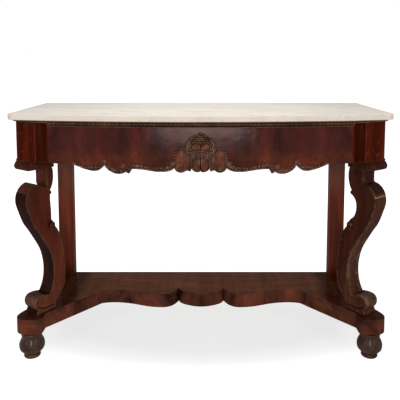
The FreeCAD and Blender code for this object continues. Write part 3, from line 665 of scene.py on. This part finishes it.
def soft(gap, width):
    """1 on a path, falling gently to 0 at the width."""
    return 0.5 + 0.5 * np.cos(math.pi * unit(gap / width))


def wave(turns):
    """1 at each whole turn, and 0 halfway between."""
    return 0.5 + 0.5 * np.cos(2 * math.pi * turns)


def rounded_drop(gap, radius):
    """How far a quarter-round arris lies below the face at a gap from its edge."""
    return radius - np.sqrt(np.clip(radius ** 2 - (radius - np.clip(gap, 0.0, radius)) ** 2, 0.0, None))


def ridge(points, path, width, taper=1.0):
    """A rounded ridge along a path, as a share of its height. Taper is its width at the far end."""
    path = np.array(path, float)
    gap, along = to_path(points, path)
    whole = np.linalg.norm(np.diff(path, axis=0), axis=1).sum()
    return half_round(gap, width * (1.0 + (taper - 1.0) * along / whole))


def boss(points, middle, radii, tilt=0.0):
    """An oval dome, as a share of its height. Tilt is in degrees."""
    turn = math.radians(tilt)
    off = points - np.array(middle)
    x = off[:, 0] * math.cos(turn) + off[:, 1] * math.sin(turn)
    z = off[:, 1] * math.cos(turn) - off[:, 0] * math.sin(turn)
    return np.sqrt(unit(1.0 - (x / radii[0]) ** 2 - (z / radii[1]) ** 2))


def polar(middle, radius, angle):
    """Places at a distance from a middle and at an angle in radians."""
    return np.array(middle) + np.multiply(radius, (np.cos(angle), np.sin(angle))).T


def ray(root, degrees, reach):
    """A straight path from a root."""
    return [root, polar(root, reach, math.radians(degrees))]


def spiral(middle, outer, inner, turns, start, hand=1):
    share = np.linspace(0.0, 1.0, 61)
    angle = math.radians(start) + hand * share * turns * 2 * math.pi
    return polar(middle, outer + (inner - outer) * share ** 0.8, angle)


def curve_through(points, steps=8):
    """A smooth path through the points (Catmull-Rom)."""
    p = np.array(points, float)
    p = np.vstack([2 * p[0] - p[1], p, 2 * p[-1] - p[-2]])
    path = []
    for before, a, b, after in zip(p, p[1:], p[2:], p[3:]):
        for t in np.arange(steps) / steps:
            path.append(0.5 * (2 * a + (b - before) * t + (2 * before - 5 * a + 4 * b - after) * t ** 2
                               + (3 * a - before - 3 * b + after) * t ** 3))
    return np.vstack(path + [p[-2]])


# ---------------- carved plates

LEVEL = 0.75  # relief of a point that lies level with what surrounds it
RELIEF_PER_MM = 0.35


def scattered(outline, step, rings):
    """Points of the outline, of rings that follow it and of a grid, and how many are the outline's."""
    outline = resampled(outline, step)
    if cross(outline, np.roll(outline, -1, axis=0)).sum() < 0:
        outline = outline[::-1]
    ahead = np.roll(outline, -1, axis=0) - np.roll(outline, 1, axis=0)
    inward = np.stack([-ahead[:, 1], ahead[:, 0]], axis=1)
    inward /= np.linalg.norm(inward, axis=1)[:, None] + TINY
    inner = []
    for ring in rings:
        moved = outline + inward * ring
        inner.append(moved[(rim_gap(moved, outline) > 0.93 * ring) & within(moved, outline)])
    low, high = outline.min(0), outline.max(0)
    grid = np.stack(np.meshgrid(
        np.arange(low[0] + step / 2, high[0], step), np.arange(low[1] + step / 2, high[1], step)
    ), axis=-1)
    grid[1::2, :, 0] += step / 2
    grid = grid.reshape(-1, 2)
    grid = grid[within(grid, outline)]
    inner.append(grid[rim_gap(grid, outline) > max(rings, default=0.0) + 0.45 * step])
    return np.vstack([outline] + inner), len(outline)


def open_edges(faces):
    """The edges that only one face has, in that face's direction."""
    edges = dict.fromkeys((a, b) for face in faces for a, b in zip(face, face[1:] + face[:1]))
    return [(a, b) for a, b in edges if (b, a) not in edges]


def coordinates(mesh):
    places = np.zeros(len(mesh.vertices) * 3)
    mesh.vertices.foreach_get("co", places)
    return places.reshape(-1, 3)


def write_values(mesh, name, values):
    """Writes a number for each point, which materials read as an attribute."""
    attribute = mesh.attributes.get(name) or mesh.attributes.new(name, "FLOAT", "POINT")
    attribute.data.foreach_set("value", np.asarray(values, np.float32))


def relief_of(mesh, gain, rounds=4):
    """How far each point stands out of what surrounds it: below LEVEL in hollows and above it on ridges."""
    count = len(mesh.vertices)
    places = coordinates(mesh)
    normals = np.zeros(count * 3)
    mesh.vertex_normals.foreach_get("vector", normals)
    pairs = np.zeros(len(mesh.edges) * 2, int)
    mesh.edges.foreach_get("vertices", pairs)
    a, b = pairs.reshape(-1, 2).T
    shares = np.maximum(np.bincount(a, minlength=count) + np.bincount(b, minlength=count), 1)

    def around(values):
        """The mean of each point's neighbours."""
        total = np.zeros_like(values)
        np.add.at(total, a, values[b])
        np.add.at(total, b, values[a])
        return total / (shares[:, None] if values.ndim > 1 else shares)

    smooth = places
    for _ in range(rounds):
        smooth = around(smooth)
    out = ((places - smooth) * normals.reshape(-1, 3)).sum(1) * 1000.0 * gain
    out = 0.5 * out + 0.5 * around(out)
    return np.clip(LEVEL + RELIEF_PER_MM * out, 0.0, 1.5).astype(np.float32)


def carve(outline, height, place, step, back, rings=(), gain=1.0, wall_rows=(),
          polish=None, dark_rim=0.0, rubbed=None):
    """Mesh of a carved plate, over an outline of points in the plate's own two coordinates.

    height     relief of the front over points
    place      turns points and heights into places in the room
    step       distance between points
    back       depth of a flat rear side, or the height function of a carved one
    rings      distances from the outline of rows of points that follow it
    gain       depth of the shadows in its hollows
    wall_rows  shares of the way to the back, of more rows of points
    polish     how smooth and red points are
    dark_rim   how far painted shade reaches in from the outline
    rubbed     relief attribute that worn points have at least
    """
    points, border = scattered(outline, step, rings)
    edges = [(n, (n + 1) % border) for n in range(border)]
    flat, _, faces, _, _, _ = delaunay_2d_cdt([Vector(p) for p in points], edges, [], 1, 1e-7)
    flat = np.array([tuple(v) for v in flat])
    faces = [tuple(f) for f in faces]
    rim = open_edges(faces)
    count = len(flat)
    front = place(flat, height(flat))
    if callable(back):
        number = {n: count + n for n in range(count)}
        places = np.vstack([front, place(flat, back(flat))])
        rear_faces = [tuple(number[v] for v in reversed(face)) for face in faces]
    else:
        order = [a for a, _ in rim]
        number = {v: count + n for n, v in enumerate(order)}
        places = np.vstack([front, place(flat, np.full(count, back))[order]])
        rear_faces = [tuple(number[v] for v in reversed(loop)) for loop in loops_of(rim[::-1])]
    levels = [{a: a for a, _ in rim}]
    ends = np.array([(a, number[a]) for a, _ in rim])
    for share in wall_rows:
        levels.append({a: len(places) + n for n, (a, _) in enumerate(rim)})
        places = np.vstack([places, places[ends[:, 0]] * (1 - share) + places[ends[:, 1]] * share])
    levels.append(number)
    walls = [(upper[b], upper[a], lower[a], lower[b])
             for upper, lower in zip(levels, levels[1:]) for a, b in rim]
    mesh = bpy.data.meshes.new("carved")
    mesh.from_pydata([tuple(p) for p in places], [], faces + rear_faces + walls)
    mesh.validate()
    shape = bmesh.new()
    shape.from_mesh(mesh)
    bmesh.ops.recalc_face_normals(shape, faces=shape.faces)
    shape.to_mesh(mesh)
    shape.free()

    relief = relief_of(mesh, gain)
    # Points near the outline are darkened: a painted shade along the carving's edge.
    if dark_rim:
        inwards = rim_gap(flat, resampled(outline, step)) / dark_rim
        relief[:count] *= 0.25 + 0.75 * unit(inwards)
    if rubbed:
        relief[:count] = np.maximum(relief[:count], rubbed(flat))
    write_values(mesh, "relief", relief)
    if polish:
        write_values(mesh, "polish", np.concatenate([polish(flat), np.zeros(len(places) - count)]))
    return mesh


def on_bow(points, heights):
    """Places at a height above the frieze's bowed face. Points are distance from the middle and z."""
    y = BOW_CENTRE - np.sqrt((FACE_RADIUS + heights) ** 2 - points[:, 0] ** 2)
    return np.stack([points[:, 0], y, points[:, 1]], axis=1)


# ---------------- frieze and leaf strip

FRIEZE_ARRIS = 0.0008
LEAF_PITCH = 0.014
STRIP_BOTTOM = extent("cornice_front", 0, 2)
STRIP_FILLET = 0.018  # how far the fillet over the leaves stands out


def make_frieze_front():
    """A flat veneered face, with its edges a little rounded by wear."""
    outline = front_outline("frieze_front")
    border = resampled(outline, 0.006)

    def height(points):
        return -np.clip(FRIEZE_ARRIS - rim_gap(points, border), 0.0, FRIEZE_ARRIS) ** 2 / FRIEZE_ARRIS

    mesh = carve(outline, height, on_bow, 0.009, -FRIEZE_THICKNESS, rings=(0.0004, 0.0012, 0.004))
    finish_piece("frieze_front", mesh, "frieze", 40.0)


def leaf_strip_relief(points):
    """A fillet over slanting leaves over a small bead. Down is 0 at the strip's top and 1 at its bottom."""
    down = (FRIEZE_TOP - points[:, 1]) / (FRIEZE_TOP - STRIP_BOTTOM)
    section = 0.005 + 0.0095 * np.cos(0.5 * math.pi * unit((down - 0.2) / 0.62)) ** 0.7
    phase = np.abs(points[:, 0]) / LEAF_PITCH - 0.55 * down + 0.1 * np.sin(2 * math.pi * down)
    lobe = np.abs(np.cos(math.pi * phase)) ** 0.5
    nicks = wave(3.0 * phase + 1.6 * down)
    midrib = np.exp(-((((phase + 0.5) % 1.0) - 0.5) / 0.07) ** 2) * (down > 0.25) * (down < 0.8)
    leaves = section * (0.66 + 0.26 * lobe + 0.08 * nicks) - 0.0014 * midrib
    bead = 0.0052 + 0.002 * half_round(down - 0.91, 0.09)
    return np.where(down < 0.17, STRIP_FILLET, np.where(down > 0.82, bead, leaves))


def make_leaf_strip():
    outline = np.array([(-FRIEZE_HALF, STRIP_BOTTOM), (FRIEZE_HALF, STRIP_BOTTOM),
                        (FRIEZE_HALF, FRIEZE_TOP), (-FRIEZE_HALF, FRIEZE_TOP)])
    mesh = carve(outline, leaf_strip_relief, on_bow, 0.0016, 0.0, gain=2.4)
    finish_piece("cornice_front", mesh, "carved", 60.0)


# ---------------- scroll edging of the apron

# The apron's lower edge, from cusp to cusp: distance from the middle, and z.
APRON_LOBES = [
    [(0.446, 0.745), (0.443, 0.74), (0.414, 0.728), (0.392, 0.7215), (0.37, 0.718), (0.352, 0.721),
     (0.338, 0.731), (0.331, 0.737)],
    [(0.331, 0.737), (0.325, 0.728), (0.312, 0.7175), (0.284, 0.709), (0.266, 0.7115), (0.256, 0.7175)],
    [(0.256, 0.7175), (0.251, 0.712), (0.245, 0.7115), (0.24, 0.72), (0.235, 0.7265)],
    [(0.235, 0.7265), (0.213, 0.7263), (0.19, 0.724), (0.16, 0.719), (0.129, 0.7178), (0.108, 0.7205),
     (0.09, 0.731)],
]
APRON_EDGE = np.vstack([curve_through(lobe) for lobe in APRON_LOBES])
BEAD = 0.003  # half the width of the bead along the edge
QUIRK = 0.007  # from the edge to the groove behind the bead
EDGING_BACK = -0.0004  # the carvings are let into the frieze by this much
CARVED_RIM = 0.0014  # how far painted shade reaches in from a carving's outline

# Volutes beside the cusps: middle, radius, start angle in degrees, and hand.
VOLUTES = [
    ((0.334, 0.7525), 0.0082, -110, -1),
    ((0.264, 0.7375), 0.0085, -70, 1),
    ((0.0985, 0.7475), 0.008, -110, -1),
]
VOLUTE_BASE = 0.0014
VOLUTE_ROLL = 0.0019  # half the width of the rolled ridge
VOLUTE_EYE = 0.0022


def edging_relief(points):
    """Scrolling leaves behind a bead and a quirk."""
    gap, along = to_path(right_half(points), APRON_EDGE)
    bead = 0.0034 * half_round(gap - BEAD, BEAD)
    quirk = 0.0014 * soft(np.abs(gap - QUIRK), 0.0016)
    sway = 0.35 * np.sin(2 * math.pi * along / 0.047)
    leaf = wave(along / 0.019 + 38.0 * gap + sway)
    vein = wave(along / 0.0062 - 30.0 * gap + sway)
    body = (0.0012 + 0.0024 * leaf ** 0.7 + 0.0006 * vein) * soft(np.maximum(gap - 0.0085, 0.0), 0.024)
    return 0.001 + np.maximum(bead, body) - quirk


def edging_polish(points):
    """The edging's upper part is as red as the veneer above it."""
    gap, _ = to_path(right_half(points), APRON_EDGE)
    return unit((gap - 0.008) / 0.008)


def volute(sign, middle, radius, start, hand):
    """A small scroll at a cusp of the apron, standing on the veneer."""
    middle = np.array((sign * middle[0], middle[1]))
    if sign < 0:
        start, hand = 180 - start, -hand
    path = spiral(middle, radius - VOLUTE_BASE, 0.0016, 1.4, start, hand)
    outline = polar(middle, radius, np.linspace(0.0, 2 * math.pi, 28, endpoint=False))

    def roll(points):
        return ridge(points, path, VOLUTE_ROLL, 0.75)

    def height(points):
        eye = boss(points, middle, (VOLUTE_EYE, VOLUTE_EYE))
        return VOLUTE_BASE + np.maximum(0.0054 * roll(points), 0.0062 * eye)

    # The roll is worn pale and painted lightest, as a highlight.
    def rubbed(points):
        return MOST_HIGHLIT_WEAR * unit(4.0 * roll(points) - 3.0)

    return carve(outline, height, on_bow, 0.001, EDGING_BACK, gain=1.6, rubbed=rubbed)


def joined(meshes):
    shape = bmesh.new()
    for mesh in meshes:
        shape.from_mesh(mesh)
    shape.to_mesh(meshes[0])
    shape.free()
    return meshes[0]


def make_apron_carving(side, sign):
    node = "apron_carving_" + side
    mesh = carve(front_outline(node), edging_relief, on_bow, 0.0017, EDGING_BACK, rings=(0.0009,), gain=1.6,
                 polish=edging_polish, dark_rim=CARVED_RIM)
    mesh = joined([mesh] + [volute(sign, *scroll) for scroll in VOLUTES])
    finish_piece(node, mesh, "edging", 70.0)


# ---------------- cartouche

# Paths on the cartouche's right half: distance from the middle, and z.
SHIELD = curve_through([(0.0, 0.856), (0.014, 0.849), (0.031, 0.84), (0.045, 0.827), (0.05, 0.811),
                        (0.047, 0.796), (0.036, 0.786)])
FLUTE = np.array([(0.0398, 0.8265), (0.0432, 0.813), (0.041, 0.799), (0.034, 0.7925)])
INNER_FLUTE = FLUTE + np.array([(-0.0062, 0.003), (-0.0064, 0.0), (-0.0062, 0.0), (-0.005, 0.0)])
FLUTE_WIDTH, FLUTE_TAPER = 0.0026, 0.7
SILL = curve_through([(0.0, 0.7895), (0.018, 0.7885), (0.036, 0.785)])
BROW = curve_through([(0.043, 0.785), (0.051, 0.7965), (0.063, 0.801), (0.0765, 0.797), (0.0855, 0.785),
                      (0.0885, 0.769)])
FROND = curve_through([(0.0345, 0.78), (0.0308, 0.762), (0.0318, 0.742), (0.0372, 0.727)])
LOWER_RIM = np.array([(0.0, 0.722), (0.006, 0.717), (0.014, 0.717), (0.025, 0.722), (0.031, 0.7305),
                      (0.038, 0.72), (0.045, 0.723), (0.052, 0.72), (0.07, 0.715), (0.081, 0.719),
                      (0.09, 0.731)])

# Domes: middle, radii, and tilt in degrees.
BEAN = ((0.015, 0.8045), (0.017, 0.013), 8.0)
LOBE = ((0.063, 0.759), (0.0262, 0.033), -8.0)
LOWER_LOBE = ((0.063, 0.733), (0.025, 0.0165), 0.0)
BOSS = ((0.0, 0.745), (0.0285, 0.0285), 0.0)

GROUND = 0.0016  # height of the cartouche's ground over the frieze
BERRY_RADII = (0.0043, 0.004)
BERRY_PITCH = (0.0086, 0.0074)
BERRY_FOOT = 0.8205  # z of the lowest row of berries
PALM_ROOT = (0.0, 0.766)  # of the small palm over the boss
RIB_MIDDLE = (0.062, 0.782)  # where the ribs of a lower lobe come from
RIB_ANGLE = 17.0


def berries(x, z):
    """Rows of small domes, every other one shifted by half a berry."""
    wide, high = BERRY_PITCH
    row = np.round((z - BERRY_FOOT) / high)
    shift = 0.5 * (row % 2)
    column = np.round(x / wide - shift) + shift
    off = np.hypot((x - column * wide) / BERRY_RADII[0], (z - BERRY_FOOT - row * high) / BERRY_RADII[1])
    return half_round(off, 1.0)


def cartouche_relief(points):
    """A pointed shield with berries over two beans, above a parted boss between two shell lobes."""
    p = right_half(points)
    x, z = p[:, 0], p[:, 1]
    height = np.full(len(p), GROUND)

    def raise_to(base, rise):
        np.maximum(height, base + rise, out=height)

    def leafy(path, width, rise, pitch, cut):
        """A ridge along a path, nicked across like a leaf's edge."""
        gap, along = to_path(p, path)
        nick = wave((along + 1.2 * gap) / pitch) ** 2
        raise_to(GROUND, (rise - cut * nick) * half_round(gap, width))

    inset = unit(np.linspace(0.6, 1.4, len(SHIELD)))[:, None]
    leafy(SHIELD - 0.0034 * inset, 0.0042, 0.0086, 0.0092, 0.0058)
    for flute in (FLUTE, INNER_FLUTE):
        raise_to(0.0012, 0.007 * ridge(p, curve_through(flute, 6), FLUTE_WIDTH, FLUTE_TAPER))
    gap, _ = to_path(p, SHIELD)
    field = within(p, np.vstack([SHIELD, [(0.0, 0.786)]])) & (gap > 0.0085) & (z > 0.8165) & (x < 0.031)
    raise_to(0.0008, 0.0096 * field * berries(x, z))
    raise_to(GROUND, 0.01 * boss(p, *BEAN))
    leafy(SILL, 0.003, 0.0058, 0.007, 0.002)
    for n in range(3):
        raise_to(0.0014, 0.005 * ridge(p, ray(PALM_ROOT, 90 - 24 * n, 0.015 + 0.0035 * n), 0.0034, 0.8))
    raise_to(0.0024, 0.0082 * boss(p, *LOBE))
    leafy(BROW, 0.0052, 0.0088, 0.0102, 0.0062)
    raise_to(0.0012, 0.0062 * boss(p, *LOWER_LOBE))
    raise_to(0.0018, 0.01 * boss(p, *BOSS))
    leafy(FROND, 0.0038, 0.0066, 0.0088, 0.005)
    spoke = np.degrees(np.arctan2(RIB_MIDDLE[1] - z, x - RIB_MIDDLE[0])) % 360.0
    between = 1.0 - np.abs(np.cos(math.pi * spoke / RIB_ANGLE)) ** 0.5
    height -= 0.0036 * between * unit((0.758 - z) / 0.016) * ((x > 0.038) & (x < 0.09))
    leafy(LOWER_RIM + (0.0, 0.0028), 0.0028, 0.005, 0.0075, 0.0018)
    half_cut = 0.0014 + 0.002 * unit((0.735 - z) / 0.015)
    parting = np.exp(-(x / half_cut) ** 2) * (z < 0.815)
    return height - 0.75 * (height - GROUND) * parting


def cartouche_polish(points):
    """The smooth domes are redder than the leaves."""
    p = right_half(points)
    domes = np.maximum.reduce([boss(p, *BEAN), 0.8 * boss(p, *BOSS), boss(p, *LOBE)])
    return unit(1.15 * domes ** 1.5)


def cartouche_rubbed(points):
    """The outer flutes and the middle berries are worn light."""
    p = right_half(points)
    middle_berries = (p[:, 0] < 0.012) & (p[:, 1] > 0.826) & (p[:, 1] < 0.846)
    return np.maximum(1.45 * ridge(p, curve_through(FLUTE, 6), FLUTE_WIDTH, FLUTE_TAPER), middle_berries)


def make_cartouche():
    mesh = carve(front_outline("cartouche"), cartouche_relief, on_bow, 0.0013, EDGING_BACK, rings=(0.0008,),
                 gain=1.1, polish=cartouche_polish, dark_rim=CARVED_RIM, rubbed=cartouche_rubbed)
    finish_piece("cartouche", mesh, "shell", 75.0)


# ---------------- legs

# A leg's own plane: where its reference line stands, and how the leg is turned about it. Points on a leg are
# distance outwards from that line and z.
LEG_X = 0.625
LEG_Y = -0.1345
LEG_TURN = math.radians(36.5)
LEG_OFFSET = 0.018  # from the reference line to the middle of the leg's thickness
LEG_HALF = 0.034  # half its thickness
LEG_ARRIS = 0.0024
LEG_WALL_ROWS = (0.03, 0.08, 0.5, 0.92, 0.97)
EYE = (-0.021, 0.1935)  # middle of the toe's roll
TOE_RADIUS = 0.03
TOE_BOTTOM = 0.172
FOOT_LINE = curve_through([(-0.012, 0.176), (-0.034, 0.1665), (-0.062, 0.165), (-0.088, 0.1655)])
FAN_ROOT = (-0.07, 0.4835)
CHIPPED = 1.12  # relief of the right leg's chipped edges
CHIPPED_HEIGHTS = (0.19, 0.43)


def leg_relief(points):
    """A sunk scroll and line at the toe, and a small fan, over a leg's side."""
    height = -0.0011 * soft(to_path(points, spiral(EYE, 0.019, 0.011, 0.75, -62))[0], 0.006)
    height -= 0.003 * ridge(points, FOOT_LINE, 0.0022)
    height -= 0.0012 * soft(np.linalg.norm(points - np.array(EYE), axis=1), 0.0075)
    for n in range(5):
        height += 0.0022 * ridge(points, ray(FAN_ROOT, 150 + 24 * n, 0.034), 0.0042, 0.5)
    return height


def mark_leg_wear(mesh, gap, aside, chipped):
    """Gap is the distance from the leg's outline, and aside from the middle of its thickness."""
    relief = np.zeros(len(mesh.vertices), np.float32)
    mesh.attributes["relief"].data.foreach_get("value", relief)
    relief[gap < 0.0006] = PLAIN
    # The rounded arrises are worn pale, which also paints highlight lines along them.
    relief[(gap < 0.0026) & (aside > LEG_HALF - 0.0045)] = HIGHLIT_WEAR
    relief[(gap < 0.0026) & (aside > LEG_HALF - 0.0085) & chipped] = CHIPPED
    relief[(gap < 0.0075) & (aside > LEG_HALF - 0.003) & chipped] = CHIPPED
    write_values(mesh, "relief", relief)
    write_values(mesh, "polish", unit((gap - 0.008) / 0.02))


def make_leg(side, sign, side_wood, band_wood):
    """A scroll leg. Its band is the narrow side below the shoulder."""
    node = "leg_" + side
    base = np.array((sign * LEG_X, LEG_Y))
    out = np.array((sign * math.sin(LEG_TURN), -math.cos(LEG_TURN)))
    across = np.array((sign * math.cos(LEG_TURN), math.sin(LEG_TURN)))

    def on_leg(places):
        return np.stack([(places[:, :2] - base) @ out, places[:, 2]], axis=1)

    def in_room(points, heights):
        flat = base + points[:, :1] * out + (LEG_OFFSET + heights[:, None]) * across
        return np.stack([flat[:, 0], flat[:, 1], points[:, 1]], axis=1)

    outline = on_leg(rims(node, (*across, 0.0), 0.95)[0])
    border = resampled(outline, 0.003)

    def far_side(points):
        gap = rim_gap(points, border)
        relief = leg_relief(points) * unit((gap - 0.002) / 0.003)
        return LEG_HALF - rounded_drop(gap, LEG_ARRIS) + relief

    mesh = carve(outline, far_side, in_room, 0.0034, lambda points: -far_side(points),
                 rings=(0.0004, 0.0012, 0.0024), gain=1.6, wall_rows=LEG_WALL_ROWS)
    places = coordinates(mesh)
    gap = rim_gap(on_leg(places), border)
    aside = np.abs((places[:, :2] - base) @ across - LEG_OFFSET)
    low, high = CHIPPED_HEIGHTS
    mark_leg_wear(mesh, gap, aside, (side == "right") & (places[:, 2] > low) & (places[:, 2] < high))
    finish_piece(node, mesh, side_wood, 50.0)
    # The band gets its own wood, painted shade on the left leg and painted light on the right one; upward
    # faces of the shoulder keep the side's wood, painted light on the left leg and painted shade on the right
    # one.
    mesh.materials.append(MATERIALS[band_wood])
    mesh.materials.append(MATERIALS["leg_toe"])
    for face in mesh.polygons:
        edgewise = abs(face.normal.x * across[0] + face.normal.y * across[1]) < 0.5
        (along, height), = on_leg(np.array([face.center]))
        toe = math.hypot(along - EYE[0], height - EYE[1]) < TOE_RADIUS and height > TOE_BOTTOM
        shoulder = height > 0.615 or (height > 0.5 and face.normal.z > 0.55)
        face.material_index = 0 if shoulder or not edgewise else 2 if toe else 1


# ---------------- floor, light and camera

LAMPS = [  # name, place, aim, size, watts, and whether the polish mirrors it
    ("over_top", (0.0, -0.25, 2.05), (0.0, -0.1, 0.9), (0.5, 0.3), 8.4, True),
    ("flash", (0.0, -3.8, 1.7), (0.0, 0.0, 0.5), (0.45, 0.45), 52.0, True),
    ("behind", (0.0, 3.0, 1.0), (0.0, 0.0, 0.2), (2.4, 0.8), 50.0, False),
    ("right_key", (2.6, -2.8, 1.9), (0.0, 0.0, 0.5), (1.3, 1.3), 22.0, True),
    ("left_fill", (-2.6, -2.8, 1.9), (0.0, 0.0, 0.5), (1.3, 1.3), 22.0, True),
    ("low_front", (0.0, -6.0, 0.22), (0.0, 0.0, 0.7), (2.4, 0.4), 60.0, True),
]
WORLD_LIGHT = 0.4
SHADOW_SCALE = (0.72, 1.6, 0.0)  # turns the oval of the table's shadow into a round
SHADOW_MIDDLE = (0.0, 0.192, 0.0)  # in that scale
CAMERA_PLACE = (0.0132, -2.0619, 1.1004)
CAMERA_TILT = 0.09  # radians below level
CAMERA_SENSOR, CAMERA_LENS = 36.0, 48.17
CAMERA_SHIFT = (-0.0108, -0.229)


def make_world():
    """A white backdrop that lights the object less than it shows."""
    world = bpy.data.worlds.new("studio")
    bpy.context.scene.world = world
    world.use_nodes = True
    world.node_tree.nodes.clear()
    n = Nodes(world.node_tree)
    light = n.add("Background", Color=opaque(1.0), Strength=WORLD_LIGHT)
    white = n.add("Background", Color=opaque(1.0), Strength=1.0)
    choose = n.add("MixShader", _0=n.seen(), _1=light.outputs[0], _2=white.outputs[0])
    n.add("OutputWorld", Surface=choose.outputs[0])


def make_floor():
    """A pale floor that keeps the table's shadow, glows less in an oval under the table as a painted shadow,
    and grows white away from it.
    """
    bpy.ops.mesh.primitive_plane_add(size=80.0, location=(0.0, 0.0, -0.0005))
    floor = bpy.context.object
    floor.name = "floor"
    s = Shader("studio_floor")
    s.feed(s.surface, Base_Color=opaque(0.8), Roughness=0.9, Specular_IOR_Level=0.0)
    # The glow is weaker in an oval under the table: a painted shadow.
    away = s.distance(s.scaled(SHADOW_SCALE), SHADOW_MIDDLE)
    strength = s.ramp(away, ((0.38, 0.665), (0.5, 0.75), (0.66, 1.0)))
    pale = s.add("BsdfDiffuse", Color=opaque(0.3))
    glow = s.add("Emission", Color=opaque(1.0), Strength=strength)
    both = s.add("AddShader", _0=pale.outputs[0], _1=glow.outputs[0])
    choose = s.add("MixShader", _0=s.seen(), _1=s.surface.outputs[0], _2=both.outputs[0])
    s.feed(s.tree.nodes["Material Output"], Surface=choose.outputs[0])
    floor.data.materials.append(s.material)


def make_lamp(name, place, aim, size, power, mirrored):
    lamp = bpy.data.lights.new(name, "AREA")
    lamp.shape = "RECTANGLE"
    lamp.size, lamp.size_y = size
    lamp.energy = power
    holder = put(name, lamp)
    holder.location = place
    holder.rotation_euler = (Vector(aim) - Vector(place)).to_track_quat("-Z", "Y").to_euler()
    holder.visible_camera = False
    holder.visible_glossy = mirrored


def make_camera():
    camera = bpy.data.cameras.new("camera")
    camera.sensor_width = CAMERA_SENSOR
    camera.lens = CAMERA_LENS
    camera.shift_x, camera.shift_y = CAMERA_SHIFT
    viewer = put("camera", camera)
    viewer.location = CAMERA_PLACE
    viewer.rotation_euler = (math.pi / 2 - CAMERA_TILT, 0.0, 0.0)
    bpy.context.scene.camera = viewer


make_frieze_front()
make_leaf_strip()
make_apron_carving("left", -1)
make_apron_carving("right", 1)
make_cartouche()
make_leg("left", -1, "leg", "leg_band")
make_leg("right", 1, "shaded_leg_side", "lit_leg_band")
dress_nodes()

make_world()
make_floor()
for lamp in LAMPS:
    make_lamp(*lamp)
make_camera()
bpy.context.scene.view_settings.view_transform = "Standard"
